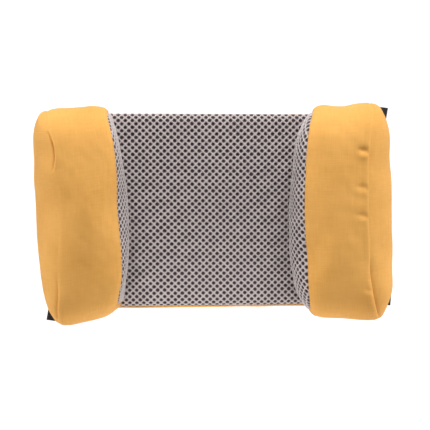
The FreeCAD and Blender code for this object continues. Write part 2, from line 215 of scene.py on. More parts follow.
def quads_of(index, flip=False):
    """The four point numbers of every cell of a grid of point numbers."""
    corners = (index[:-1, :-1], index[1:, :-1], index[1:, 1:], index[:-1, 1:])
    quads = np.stack(corners, axis=-1).reshape(-1, 4)
    return quads[:, ::-1] if flip else quads


class Builder:
    """Collects the points, faces and weave coordinates of one mesh."""

    def __init__(self):
        self.points = []
        self.weave = []
        self.faces = []
        self.count = 0

    def add(self, points, weave=None):
        """Adds points and returns the number of the first. The weave follows them, if not given."""
        points = np.asarray(points, float).reshape(-1, 3)
        first = self.count
        self.points.append(points)
        weave = points * MM if weave is None else np.asarray(weave, float).reshape(-1, 3)
        self.weave.append(weave)
        self.count += len(points)
        return first

    def grid(self, grid, flip=False):
        rows, columns = grid.shape[:2]
        self.quads(self.add(grid) + np.arange(rows * columns).reshape(rows, columns), flip)

    def quads(self, index, flip=False):
        self.faces.extend(quads_of(index, flip).tolist())

    def object(self, name, material, weld_below=0.0):
        points = np.vstack(self.points) * MM
        mesh = bpy.data.meshes.new(name)
        mesh.from_pydata(points.tolist(), [], self.faces)
        weave = mesh.attributes.new("weave", "FLOAT_VECTOR", "POINT")
        weave.data.foreach_set("vector", np.vstack(self.weave).astype(np.float32).ravel())
        mesh.validate()
        if weld_below:
            weld(mesh, weld_below)
        mesh.polygons.foreach_set("use_smooth", [True] * len(mesh.polygons))
        mesh.update()
        obj = bpy.data.objects.new(name, mesh)
        bpy.context.scene.collection.objects.link(obj)
        mesh.materials.append(material)
        return obj


def weld(mesh, distance):
    """Joins points that lie together and turns every face outwards."""
    bm = bmesh.new()
    bm.from_mesh(mesh)
    bmesh.ops.remove_doubles(bm, verts=bm.verts, dist=distance * MM)
    bmesh.ops.dissolve_degenerate(bm, edges=bm.edges, dist=1e-7)
    loose = [v for v in bm.verts if not v.link_faces]
    bmesh.ops.delete(bm, geom=loose, context="VERTS")
    bmesh.ops.recalc_face_normals(bm, faces=bm.faces)
    bm.to_mesh(mesh)
    bm.free()


def thick_grid(b, top, thickness, normals, weave=None, keep=None, ring=False):
    """Adds a closed sheet to a builder: "top" is its outer face. keep marks the cells it has.
    In a ring the last row of points lies on the first."""
    if weave is None:
        weave = cloth_coordinates(top)
    rows, columns = top.shape[:2]
    if keep is None:
        keep = np.ones((rows - 1, columns - 1), bool)
    normals = np.broadcast_to(normals, top.shape)
    under = top - normals * thickness
    first_top = b.add(top, weave)
    first_under = b.add(under, weave)
    index = np.arange(rows * columns).reshape(rows, columns)
    up, down = index + first_top, index + first_under
    for i, j in np.argwhere(keep).tolist():
        corners = ((i, j), (i + 1, j), (i + 1, j + 1), (i, j + 1))
        b.faces.append([int(up[c]) for c in corners])
        b.faces.append([int(down[c]) for c in reversed(corners)])
        beside = ((i, j - 1), (i + 1, j), (i, j + 1), (i - 1, j))
        for k, (r, c) in enumerate(beside):
            r = r % (rows - 1) if ring else r
            inside = 0 <= r < rows - 1 and 0 <= c < columns - 1 and keep[r, c]
            if not inside:
                p, q = corners[k], corners[(k + 1) % 4]
                b.faces.append([int(up[q]), int(up[p]), int(down[p]), int(down[q])])


def sheet(name, top, thickness, material, **shape):
    b = Builder()
    thick_grid(b, top, thickness, **shape)
    obj = b.object(name, material, weld_below=0.02)
    obj.data.set_sharp_from_angle(angle=math.radians(50))
    return obj


def show_piece(obj, body, node):
    """Fixes a piece to its body and hides the CAD piece it stands for."""
    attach(obj, body)
    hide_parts(node)


def built_piece(b, body, node, slot, weld_below=0.0):
    """Turns a builder into the piece that stands for a CAD node."""
    show_piece(b.object(node + "_look", MATERIALS[slot], weld_below), body, node)


def sheet_piece(body, node, slot, top, thickness, look="", **shape):
    """A sheet that stands for a CAD node. look is its name, if that differs from the node's."""
    name = look or node + "_look"
    show_piece(sheet(name, top, thickness, MATERIALS[slot], **shape), body, node)


# ---- bolsters: the shape before stuffing --------------------------------------------------------

FRONT_ROWS = 68
END_COLUMNS = 16
BAND_COLUMNS = 18
LOOP = 2 * FRONT_ROWS + 2 * END_COLUMNS - 4
TOP_CORNER = FRONT_ROWS + END_COLUMNS - 2
BOTTOM_CORNER = TOP_CORNER + FRONT_ROWS - 1
NOSE = 34.0
USUAL_END = 101.0
FRONT_CROWN = 3.0
BOTTOM_SLACK = 0.16


def side_profile(ends, front):
    """The D of one seam in (Y, Z) as a loop: front upwards, top, base downwards, bottom."""
    low, high = ends
    turn = np.linspace(0, math.pi / 2, 24)
    y, z = [], []
    for end, way in ((low, -1), (high, 1)):
        straight = end - NOSE
        run = np.linspace(0, 1, 30)[:-1]
        y.append(np.concatenate([front - FRONT_CROWN * (1 - run ** 2),
                                 front + NOSE * (1 - np.cos(turn))]))
        z.append(way * np.concatenate([straight * run, straight + NOSE * np.sin(turn)]))
    y = np.concatenate([y[0][::-1], y[1][1:]])
    z = np.concatenate([z[0][::-1], z[1][1:]])
    run = np.concatenate([[0], np.cumsum(np.hypot(np.diff(y), np.diff(z)))])
    at = np.linspace(0, run[-1], FRONT_ROWS)
    front_y, front_z = np.interp(at, run, y), np.interp(at, run, z)
    end_y = np.linspace(front_y[-1], BASE_Y, END_COLUMNS)
    base_z = np.linspace(high, -low, FRONT_ROWS)
    loop_y = np.concatenate([front_y, end_y[1:-1], np.full(FRONT_ROWS, BASE_Y), end_y[1:-1][::-1]])
    loop_z = np.concatenate([front_z, np.full(END_COLUMNS - 2, high), base_z,
                             np.full(END_COLUMNS - 2, -low)])
    return loop_y, loop_z


def seam_places():
    """Where each point of a loop lies along the front of the D. The base runs from 1 to -1."""
    end = BASE_Y - (SIDES["right"]["outer_front"] + NOSE)
    front = 2 * (USUAL_END - NOSE) + NOSE * math.pi
    part = front / (front + 2 * end)
    up = np.linspace(-part, part, FRONT_ROWS)
    top = np.linspace(part, 1, END_COLUMNS)[1:-1]
    base = np.linspace(1, -1, FRONT_ROWS)
    return np.concatenate([up, top, base, -top[::-1]])


def seam_loop(side, which):
    """The inner or outer seam of a bolster as a loop of points, with its base bowed sideways."""
    loop_y, loop_z = side_profile(side[which + "_ends"], side[which + "_front"])
    place = seam_places()
    x = curve_through(place, *side[which + "_x"])
    base = slice(TOP_CORNER, BOTTOM_CORNER + 1)
    high, low = side[which + "_x"][1][-1], side[which + "_x"][1][0]
    along = (place[base] + 1) / 2
    x[base] = low + (high - low) * along
    out = side["sign"] * (1 if which == "outer" else -1)
    x[base] += out * side[which + "_bow"] * (1 - np.abs(2 * along - 1) ** 2.2)
    loop_y, loop_z, x = (smooth_loop(v, 2.0) for v in (loop_y, loop_z, x))
    loop_y = np.minimum(loop_y, BASE_Y)
    loop_z = loop_z + (x - side["middle"]) * math.tan(side["lean"])
    return np.stack([x, loop_y, loop_z], axis=-1)


def loop_outward(loop):
    """Unit outward directions of a D loop in the Y-Z plane."""
    step = np.roll(loop, -1, axis=0) - np.roll(loop, 1, axis=0)
    out = np.stack([np.zeros(len(loop)), -step[:, 2], step[:, 1]], axis=-1)
    return unit(out)


def nearest_side(flat, outline):
    """How far flat points lie from a closed outline, the side that is nearest and the place on it."""
    best = np.full(len(flat), np.inf)
    side = np.zeros(len(flat), int)
    part = np.zeros(len(flat))
    for k, (a, b) in enumerate(zip(outline, np.roll(outline, -1, axis=0))):
        ab = b - a
        t = np.clip(((flat - a) @ ab) / max(ab @ ab, 1e-12), 0, 1)
        gap = np.hypot(*(flat - a - t[:, None] * ab).T)
        closer = gap < best
        best[closer], side[closer], part[closer] = gap[closer], k, t[closer]
    return best, side, part


def edge_distance(points, loop):
    """How far each point lies from a closed loop, seen along X."""
    best, _, _ = nearest_side(points.reshape(-1, 3)[:, 1:], loop[:, 1:])
    return best.reshape(points.shape[:-1])


def inside_loop(flat, outline):
    """True for the flat points (y, z) that lie inside a closed outline."""
    crossings = np.zeros(len(flat), int)
    for a, b in zip(outline, np.roll(outline, -1, axis=0)):
        spans = (a[1] > flat[:, 1]) != (b[1] > flat[:, 1])
        if spans.any():
            cut = a[0] + (flat[:, 1] - a[1]) * (b[0] - a[0]) / (b[1] - a[1] + 1e-12)
            crossings += spans & (flat[:, 0] < cut)
    return crossings % 2 == 1


def side_sides(loop):
    """The four sides of a side panel's grid: front, base, bottom and top."""
    front = loop[:FRONT_ROWS]
    top = loop[FRONT_ROWS - 1:TOP_CORNER + 1]
    base = loop[TOP_CORNER:BOTTOM_CORNER + 1][::-1]
    bottom = np.vstack([loop[BOTTOM_CORNER:], loop[:1]])[::-1]
    return front, base, bottom, top


def coons(loop):
    """A smooth grid of FRONT_ROWS x END_COLUMNS inside a seam loop."""
    front, base, bottom, top = side_sides(loop)
    v = np.linspace(0, 1, FRONT_ROWS)[:, None, None]
    u = np.linspace(0, 1, END_COLUMNS)[None, :, None]
    grid = (1 - u) * front[:, None] + u * base[:, None] + (1 - v) * bottom[None] + v * top[None]
    corner = (1 - v) * ((1 - u) * bottom[0] + u * bottom[-1])
    return grid - corner - v * ((1 - u) * top[0] + u * top[-1])


def calmed(grid, rounds):
    """Averages a grid with its neighbours and leaves its edge as it is."""
    for _ in range(rounds):
        around = grid[:-2, 1:-1] + grid[2:, 1:-1] + grid[1:-1, :-2] + grid[1:-1, 2:]
        grid[1:-1, 1:-1] = 0.5 * grid[1:-1, 1:-1] + 0.125 * around
    return grid


SHOULDER_START, SHOULDER_SPAN = 62.0, 40.0
SLACK_START, SLACK_SPAN = 60.0, 35.0
WAIST_Z, WAIST_HALF = 42.0, 34.0


def crowned(loop, crown, direction, fullness, reach, top_shoulder, waist):
    """A stuffed side panel. waist is how much of its crown it gives up a little above the middle."""
    grid = coons(loop)
    depth = np.clip(edge_distance(grid, loop) / reach, 0, 1)
    lift = calmed((1 - (1 - depth) ** 2) ** fullness, 4)
    z = grid[..., 2]
    shoulder = np.clip((z - SHOULDER_START) / SHOULDER_SPAN, 0, 1) * top_shoulder
    way = np.asarray(direction, float) + shoulder[..., None] * np.array([0, 0, 1])
    slack = BOTTOM_SLACK * np.clip((-z - SLACK_START) / SLACK_SPAN, 0, 1) ** 2
    lift *= 1 - slack - waist * bump(z - WAIST_Z, WAIST_HALF)
    return grid + lift[..., None] * crown * way


INNER_PUFF, OUTER_PUFF = 6.5, 3.2
INNER_RISE, OUTER_RISE = 0.24, 0.2


def band_lift(t):
    """How far the band stands out between the seams: full beside the inner one."""
    inner = np.sqrt(1 - (1 - np.clip(t / INNER_RISE, 0, 1)) ** 2)
    outer = np.sqrt(1 - (1 - np.clip((1 - t) / OUTER_RISE, 0, 1)) ** 2)
    return INNER_PUFF * inner * (1 - t) + OUTER_PUFF * outer * t


def band_grid(side, inner, outer):
    """The band between the two seams, as a (loop, across, 3) grid. It is flat along the base."""
    t = np.linspace(0, 1, BAND_COLUMNS)
    grid = inner[:, None] * (1 - t[None, :, None]) + outer[:, None] * t[None, :, None]
    full = np.ones(LOOP)
    full[TOP_CORNER:BOTTOM_CORNER + 1] = 0
    full = smooth_loop(full, 2.5)
    full[TOP_CORNER + 2:BOTTOM_CORNER - 1] = 0
    lift = full[:, None] * band_lift(t)[None]
    middle = np.exp(-((t - 0.52) / 0.27) ** 2)
    z = (inner[:, 2] + outer[:, 2]) / 2
    top = np.clip((z - 70) / 30, 0, 1) ** 2 * full
    bottom = np.clip((-z - 70) / 30, 0, 1) ** 2 * full
    lift = lift - (side["top_dip"] * top + side["bottom_dip"] * bottom)[:, None] * middle[None]
    return grid + lift[..., None] * loop_outward((inner + outer) / 2)[:, None]


# ---- bolsters: stuffing by cloth simulation -----------------------------------------------------

STUFFING_FRAMES = 20
MOST_MOVE = 6.0
STUFFING_INSET = 4.2
NET_CALM = 14
CLOTH_CALM = 2


CLOTH_SETTINGS = {
    "quality": 6,
    "mass": 0.15,
    "tension_stiffness": 25,
    "compression_stiffness": 25,
    "shear_stiffness": 8,
    "bending_stiffness": 0.3,
    "use_pressure": True,
    "uniform_pressure_force": 4.0,
    "shrink_min": -0.003,
    "vertex_group_mass": "held",
}


def turn_outwards(mesh):
    bm = bmesh.new()
    bm.from_mesh(mesh)
    bmesh.ops.recalc_face_normals(bm, faces=bm.faces)
    bm.to_mesh(mesh)
    bm.free()


def shell_index():
    """Point numbers of the welded shell for its three grids."""
    band = np.arange(LOOP * BAND_COLUMNS).reshape(LOOP, BAND_COLUMNS)
    grids = [band]
    count = band.size
    for column in (0, -1):
        loop = band[:, column]
        front, base, bottom, top = side_sides(loop[:, None])
        index = np.zeros((FRONT_ROWS, END_COLUMNS), int)
        inside = (FRONT_ROWS - 2) * (END_COLUMNS - 2)
        index[1:-1, 1:-1] = count + np.arange(inside).reshape(FRONT_ROWS - 2, END_COLUMNS - 2)
        index[:, 0], index[:, -1] = front[:, 0], base[:, 0]
        index[0], index[-1] = bottom[:, 0], top[:, 0]
        grids.append(index)
        count += inside
    return grids, count


def joined_points(index, grids, count):
    """The points of the three grids in one list."""
    points = np.zeros((count, 3))
    for numbers, grid in zip(index, grids):
        points[numbers.ravel()] = grid.reshape(-1, 3)
    return points


def closed_band(band):
    """The band's point numbers with the first row again at the end."""
    return np.vstack([band, band[:1]])


def cloth_shell(side, start, index):
    """The closed shell as cloth, pinned along its base."""
    band, inner, outer = index
    faces = []
    for numbers, flip in ((closed_band(band), side["sign"] < 0), (inner, side["sign"] > 0),
                          (outer, side["sign"] < 0)):
        corners = (numbers[:-1, :-1], numbers[:-1, 1:], numbers[1:, 1:], numbers[1:, :-1])
        quads = np.stack(corners, axis=-1).reshape(-1, 4)
        faces.extend((quads[:, ::-1] if flip else quads).tolist())
    mesh = bpy.data.meshes.new("shell")
    mesh.from_pydata((start * MM).tolist(), [], faces)
    turn_outwards(mesh)
    shell = bpy.data.objects.new("shell", mesh)
    bpy.context.scene.collection.objects.link(shell)
    held = shell.vertex_groups.new(name="held")
    base = band[TOP_CORNER - 1:BOTTOM_CORNER + 2].ravel()
    held.add([int(v) for v in base], 1.0, "REPLACE")
    settings = shell.modifiers.new("stuffing", "CLOTH").settings
    for name, value in CLOTH_SETTINGS.items():
        setattr(settings, name, value)
    settings.effector_weights.gravity = 0
    return shell


def stuffed(side, grids):
    """Blows the closed shell up as cloth and returns its three grids afterwards."""
    index, count = shell_index()
    points = joined_points(index, grids, count)
    rng = np.random.default_rng(side["seed"])
    shell = cloth_shell(side, points + rng.normal(scale=0.12, size=points.shape), index)
    scene = bpy.context.scene
    for step in range(1, STUFFING_FRAMES + 1):
        scene.frame_set(step)
    evaluated = shell.evaluated_get(bpy.context.evaluated_depsgraph_get())
    after = np.empty(count * 3)
    evaluated.data.vertices.foreach_get("co", after)
    scene.frame_set(1)
    bpy.data.objects.remove(shell)
    move = after.reshape(-1, 3) / MM - points
    length = np.linalg.norm(move, axis=1, keepdims=True)
    move *= np.minimum(1, MOST_MOVE / np.maximum(length, 1e-9))
    band, inner, outer = index
    for column, sigma in enumerate([4.0, 3.2] + [2.8] * (BAND_COLUMNS - 4) + [3.2, 4.0]):
        numbers = band[:, column]
        even = np.stack([smooth_loop(move[numbers, k], sigma) for k in range(3)], axis=-1)
        move[numbers] = even
    for numbers, rounds in ((inner, NET_CALM), (outer, CLOTH_CALM)):
        move[numbers] = calmed(move[numbers], rounds)
    points = points + move
    points[:, 1] = np.minimum(points[:, 1], BASE_Y)
    return [points[numbers] for numbers in index]


# ---- bolsters: seams, puckers and creases ---------------------------------------------------------

def bump(x, width):
    return np.exp(-(x / width) ** 2)


def seam_dent(distance, along, seed):
    """The cloth dips into a seam, with a small gather at every stitch."""
    rng = np.random.default_rng(seed)
    phase = rng.uniform(0, 2 * math.pi)
    drift = 1.5 * np.sin(along / 23 + phase) + 1.1 * np.sin(along / 9.1 + 2 * phase)
    gather = np.sin((along + drift) * 2 * math.pi / 6.5)
    swell = 0.6 + 0.4 * np.sin(along / 31 + phase)
    return -1.3 * bump(distance, 1.3) + 0.16 * swell * gather * bump(distance - 2.5, 3.2)


SEAM_SHUT = -99.0


def outer_seam_lift(side, distance, along, z):
    """The outer seam is filled out smooth high up. Lower down, as far as SEAM_SHUT, its stitches
    draw it in."""
    opened = 1 / (1 + np.exp((z - side["drawn_below"]) / 4.0))
    opened *= 1 / (1 + np.exp((SEAM_SHUT - z) / 1.5))
    dent = seam_dent(distance, along, side["seed"] + 3)
    filled = side["seam_fill"] * bump(distance, 3.8) + 0.12 * dent
    drawn = 0.3 * dent - 1.1 * bump(distance, 0.55)
    return (1 - opened) * filled + opened * drawn


PUCKERS = ((60.0, 2.1, 5.5), (25.5, 0.95, 7.0), (-1.0, 1.1, 7.0), (-72.0, 0.8, 5.0))


def right_puckers(p, distance_outer):
    """Puckers that run from the outer seam into the front of the right bolster."""
    d = distance_outer
    lift = np.zeros(d.shape)
    for height, depth, reach in PUCKERS:
        line = p[..., 2] - height - 0.10 * d
        fade = bump(d - 5.5, reach) * (1 - bump(d, 1.8))
        lift += fade * depth * (0.5 * bump(line + 5.5, 3.2) - bump(line, 2.7)
                                + 0.2 * bump(line - 7.0, 4.5))
    return lift


OPENING_Z, OPENING_HALF = 59.0, 18.5


def left_opening(p, distance_outer):
    """The hand-sewn stuffing opening high on the left outer seam: a thin curved crease."""
    length = np.clip(1 - ((p[..., 2] - OPENING_Z) / OPENING_HALF) ** 2, 0, 1)
    away = distance_outer - 1.8 * length
    slit = -2.3 * np.sqrt(length) * bump(away, 0.95)
    return slit + length * (0.9 * bump(away - 3.2, 2.4) - 0.9 * bump(away + 3.0, 2.6))


FRONT_PLACES = np.linspace(0, FRONT_ROWS - 1, 230)
END_PLACES = dense_ends(END_COLUMNS - 1, 52, 60.0, 0.7)
BAND_PLACES = dense_ends(BAND_COLUMNS - 1, 64, 62.0, 0.6)
BOXING_ROWS = np.concatenate([END_PLACES[:-1] - (END_COLUMNS - 1), FRONT_PLACES,
                              FRONT_ROWS - 1 + END_PLACES[1:]])
BASE_ROWS = TOP_CORNER + FRONT_PLACES


def rolled_band(grid):
    """The band with a few rows before its start, so that it can be read as a whole loop."""
    return np.concatenate([grid[1 - END_COLUMNS:], grid])


def band_surface(side, band, band_normals, rows, sewn=True):
    """A fine grid of the band with its seam dents, gathers and folds."""
    rows = rows + END_COLUMNS - 1
    fine = resample(rolled_band(band), rows, BAND_PLACES)
    normals = unit(resample(rolled_band(band_normals), rows, BAND_PLACES))
    across = arc_lengths(fine, 1)
    along = arc_lengths(fine, 0)[:, :1]
    from_inner, from_outer = across, across[:, -1:] - across
    lift = 0.25 * wave_noise(fine, side["seed"], 34) + 0.12 * wave_noise(fine, side["seed"] + 1, 13)
    lift *= np.clip(np.minimum(from_inner, from_outer) / 10, 0, 1)
    if sewn:
        lift += 0.8 * seam_dent(from_inner, along, side["seed"] + 2)
        lift += outer_seam_lift(side, from_outer, along, fine[..., 2])
        front = np.clip((-fine[..., 1] - 55) / 20, 0, 1)
        detail = right_puckers if side["sign"] > 0 else left_opening
        lift += detail(fine, from_outer) * front
    return fine + normals * lift[..., None], normals


def side_surface(side, grid, grid_normal, which):
    """A fine grid of a side panel with its seam dents."""
    fine = resample(grid, FRONT_PLACES, END_PLACES)
    normals = unit(resample(grid_normal, FRONT_PLACES, END_PLACES))
    loop = np.vstack([fine[:, 0], fine[-1, 1:], fine[::-1, -1][1:], fine[0, ::-1][1:-1]])
    depth = edge_distance(fine, loop)
    along = arc_lengths(fine, 0)
    lift = 0.45 * wave_noise(fine, side["seed"] + 5, 38) * np.clip(depth / 12, 0, 1)
    if which == "outer":
        lift += outer_seam_lift(side, depth, along, fine[..., 2])
        if side["sign"] < 0:
            front_side = np.clip((-fine[..., 1] - 60) / 15, 0, 1)
            lift += left_opening(fine, -depth) * front_side
    else:
        lift += 0.8 * seam_dent(depth, along, side["seed"] + 2)
    return fine + normals * lift[..., None], normals


def shell_normals(side, grids):
    """Outward normals of the whole shell, shared along the seams, as three grids."""
    index, count = shell_index()
    total = np.zeros((count, 3))
    for k, (numbers, grid) in enumerate(zip(index, grids)):
        if k == 0:
            normals = grid_normals(np.concatenate([grid[-1:], grid, grid[:1]]))[1:-1]
            normals *= -side["sign"]
        else:
            way = side["sign"] * (1 if k == 2 else -1)
            normals = grid_normals(grid)
            normals *= np.sign(normals[FRONT_ROWS // 2, END_COLUMNS // 2, 0]) * way
        np.add.at(total, numbers.ravel(), normals.reshape(-1, 3))
    total = unit(total)
    return [total[numbers] for numbers in index]


def stuffing(body, grids, normals):
    """A closed form a little inside the cover."""
    index, count = shell_index()
    b = Builder()
    b.add(joined_points(index, [g - n * STUFFING_INSET for g, n in zip(grids, normals)], count))
    band, inner, outer = index
    for numbers in (closed_band(band), inner, outer):
        b.quads(numbers)
    built_piece(b, body, f"{body}_foam", "foam", weld_below=0.01)


# ---- spacer mesh ------------------------------------------------------------------------------

NET_TUCK = 1.2
NET_OVERLAP = 3.6
HOLE_PITCH = 7.05
ROW_PITCH = 6.70
RING = ((1, 0), (0.5, 0.5), (0, 1), (-0.5, 0.5), (-1, 0), (-0.5, -0.5), (0, -1), (0.5, -0.5))
# Each hole ring: radius, height, and how much painted shade its colour gets, more the deeper into the
# hole, so the floor is painted nearly black.
HOLE_RINGS = ((2.00, -0.30, 0.3), (1.60, -0.85, 0.75), (1.36, -1.7, 1.0))
CORD_HEIGHT = 0.22
NET_THICKNESS = 2.6


def lattice_cells(low_u, high_u, low_v, high_v):
    """Hole centres of the net as doubled lattice numbers (even sums only)."""
    us = np.arange(math.floor(2 * low_u / HOLE_PITCH), math.ceil(2 * high_u / HOLE_PITCH) + 1)
    vs = np.arange(math.floor(2 * low_v / ROW_PITCH), math.ceil(2 * high_v / ROW_PITCH) + 1)
    u, v = np.meshgrid(us, vs)
    even = (u + v) % 2 == 0
    return np.stack([u[even], v[even]], axis=-1)


def lattice_to_flat(numbers):
    return numbers * np.array([HOLE_PITCH / 2, ROW_PITCH / 2])


def net_piece(body, node, cells, place, seed):
    """A closed sheet of net with a blind hole in each cell. place(flat) gives points and normals."""
    b = Builder()
    count = len(cells)
    corners = np.asarray(RING)
    around = (cells[:, None] + corners[None]) * 2
    keys = np.rint(around).astype(int).reshape(-1, 2)
    unique, shared = np.unique(keys, axis=0, return_inverse=True)
    shared = shared.reshape(count, 8)
    flat = lattice_to_flat(unique / 2)
    point, normal = place(flat)
    weave = np.concatenate([flat * MM, np.zeros((len(flat), 1))], axis=1)
    b.add(point + normal * CORD_HEIGHT, weave)
    under = b.add(point - normal * NET_THICKNESS, weave)
    centre = lattice_to_flat(cells.astype(float))
    size = 1 + 0.05 * wave_noise(np.column_stack([centre, np.zeros(count)]), seed, 17)
    rings = [shared]
    turn = np.arange(8) * math.pi / 4
    circle = np.stack([np.cos(turn), np.sin(turn)], axis=-1)
    for radius, height, hole_shade in HOLE_RINGS:
        ring = centre[:, None] + circle[None] * (radius * size)[:, None, None]
        ring = ring.reshape(-1, 2)
        point, normal = place(ring)
        # The third weave value carries the ring's painted shade to the net material.
        weave = np.concatenate([ring * MM, np.full((len(ring), 1), hole_shade)], axis=1)
        first = b.add(point + normal * height, weave)
        rings.append(first + np.arange(count * 8).reshape(count, 8))
    for outer, inner in zip(rings[:-1], rings[1:]):
        nxt_outer, nxt_inner = np.roll(outer, -1, axis=1), np.roll(inner, -1, axis=1)
        quads = np.stack([outer, nxt_outer, nxt_inner, inner], axis=-1)
        b.faces.extend(quads.reshape(-1, 4).tolist())
    b.faces.extend(rings[-1].tolist())
    b.faces.extend((shared[:, ::-1] + under).tolist())
    edges = np.stack([shared, np.roll(shared, -1, axis=1)], axis=-1).reshape(-1, 2)
    order = np.sort(edges, axis=1)
    _, first, times = np.unique(order, axis=0, return_index=True, return_counts=True)
    for p, q in edges[first[times == 1]].tolist():
        b.faces.append([q, p, p + under, q + under])
    built_piece(b, body, node, "spacer_mesh")


# ---- pad ----------------------------------------------------------------------------------------

PAD_X, PAD_Z = 167.0, 98.0
PAD_FRONT = -26.0
PAD_CORNER = 12.0
MESH_TURN = 8.5
MESH_REACH = 13.5
MESH_RISE = 0.8
TUCK_START, TUCK_SPAN, TUCK_DEPTH = 10.0, 2.4, 2.2
BEND_X, BEND_Z = PAD_X - MESH_TURN + 0.2, PAD_Z - MESH_TURN + 0.2


def pad_front_place(flat):
    """Wraps the flat net over the front of the pad and tucks its edge in under the side band."""
    x, z = flat[:, 0], flat[:, 1]
    spot = np.stack([x, np.zeros(len(x)), z], axis=-1)
    x = x + 0.35 * wave_noise(spot, 5, 90)
    z = z + 0.35 * wave_noise(spot, 6, 80)
    near_x, near_z = np.clip(x, -BEND_X, BEND_X), np.clip(z, -BEND_Z, BEND_Z + MESH_RISE)
    away = np.stack([x - near_x, z - near_z], axis=-1)
    length = np.linalg.norm(away, axis=-1)
    way = away / np.maximum(length, 1e-9)[:, None]
    angle = np.minimum(length / MESH_TURN, math.pi / 2)
    past = np.maximum(length - MESH_TURN * math.pi / 2, 0)
    out = MESH_TURN * np.sin(angle)
    back = MESH_TURN * (1 - np.cos(angle)) + past
    point = np.stack([near_x + way[:, 0] * out, PAD_FRONT + back, near_z + way[:, 1] * out],
                     axis=-1)
    normal = np.stack([way[:, 0] * np.sin(angle), -np.cos(angle), way[:, 1] * np.sin(angle)],
                      axis=-1)
    ripple = 0.25 * wave_noise(spot, 8, 60) * np.clip(length / 6, 0, 1)
    point[:, 1] += np.abs(ripple) + CORD_HEIGHT
    rising = np.clip(way[:, 1], 0, 1)
    tuck = np.clip((length - TUCK_START + 0.6 * rising) / TUCK_SPAN, 0, 1)
    point -= normal * ((TUCK_DEPTH + rising) * tuck ** 2 * (3 - 2 * tuck))[:, None]
    return point, normal


def pad_front():
    """The spacer mesh over the front of the pad, cut a little past where it is tucked in."""
    cells = lattice_cells(-PAD_X - 6, PAD_X + 6, -PAD_Z - 6, PAD_Z + 6)
    flat = lattice_to_flat(cells.astype(float))
    past = np.hypot(np.maximum(np.abs(flat[:, 0]) - BEND_X, 0),
                    np.maximum(np.abs(flat[:, 1]) - BEND_Z, 0))
    net_piece("pad", "pad_front_mesh", cells[past <= MESH_REACH], pad_front_place, 3)


def rounded_loop(half_x, half_z, radius, step):
    """A rounded rectangle in the X-Z plane, as points and outward directions. It ends on its
    first point."""
    points, outs = [], []
    corners = ((1, 1, 0), (-1, 1, 1), (-1, -1, 2), (1, -1, 3))
    for sx, sz, k in corners:
        turn = np.linspace(0, math.pi / 2, 12) + k * math.pi / 2
        out = np.stack([np.cos(turn), np.zeros(12), np.sin(turn)], axis=-1)
        arc = np.array([sx * (half_x - radius), 0, sz * (half_z - radius)]) + out * radius
        nsx, nsz, _ = corners[(k + 1) % 4]
        ahead = np.array([nsx * (half_x - radius), 0, nsz * (half_z - radius)]) + out[-1] * radius
        n = max(2, int(np.linalg.norm(ahead - arc[-1]) / step))
        t = np.linspace(0, 1, n + 1)[1:-1, None]
        points.extend([arc, arc[-1] * (1 - t) + ahead * t])
        outs.extend([out, np.repeat(out[-1:], len(t), axis=0)])
    return np.vstack([*points, points[0][:1]]), np.vstack([*outs, outs[0][:1]])


def pad_boxing():
    """The cloth band round the pad's edge, with gathers beside its two seams."""
    loop, out = rounded_loop(PAD_X, PAD_Z, PAD_CORNER, 2.6)
    y = np.concatenate([[-19.6], np.linspace(-19.2, -2.2, 15), [-1.5, -1.0]])
    offset = curve_through(y, [-19.6, -18.4, -15, -11, -5, -2.2, -1.0],
                           [-0.6, 0.5, 0.85, 0.85, 0.6, 0.1, -1.2])
    offset = offset[None] + 1.2 * np.clip(-out[:, 2:], 0, 1) * bump(y + 16, 5)[None]
    offset = offset - 1.2 * np.clip(out[:, 2:], 0, 1) * np.clip((-y - 2) / 4, 0, 1)[None]
    grid = loop[:, None] + out[:, None] * offset[..., None]
    grid[..., 1] = y[None]
    along = arc_lengths(grid, 0)
    inside = bump(y + 11, 7)[None]
    grid += out[:, None] * (0.35 * wave_noise(grid, 31, 40) * inside)[..., None]
    gather = 0.16 * np.sin(along * 2 * math.pi / 6.8) * (bump(y + 18.6, 1.6) + bump(y + 3, 1.6))
    grid += out[:, None] * gather[..., None]
    grid[-1] = grid[0]
    normals = grid_normals(grid)
    normals *= np.sign(np.sum(normals * out[:, None], axis=-1, keepdims=True))
    normals[-1] = normals[0] = unit(normals[0] + normals[-1])
    sheet_piece("pad", "pad_boxing", "cover_cloth", grid, CLOTH, normals=normals, ring=True)


SLOT_X = 140.0
EVEN_X = 153.0
SEAM_HIGH, SEAM_LOW = 48.0, -40.0
ZIP_Z = -45.0
WADDING_GAP = 15.2
EDGE_DROP, SEAM_DROP = 0.9, 0.9


def pad_half_width(z, inset):
    """Half the width of the pad's rounded outline at a height."""
    radius = PAD_CORNER - inset
    past = np.clip(np.abs(z) - (PAD_Z - PAD_CORNER), 0, radius)
    return PAD_X - PAD_CORNER + np.sqrt(radius ** 2 - past ** 2)


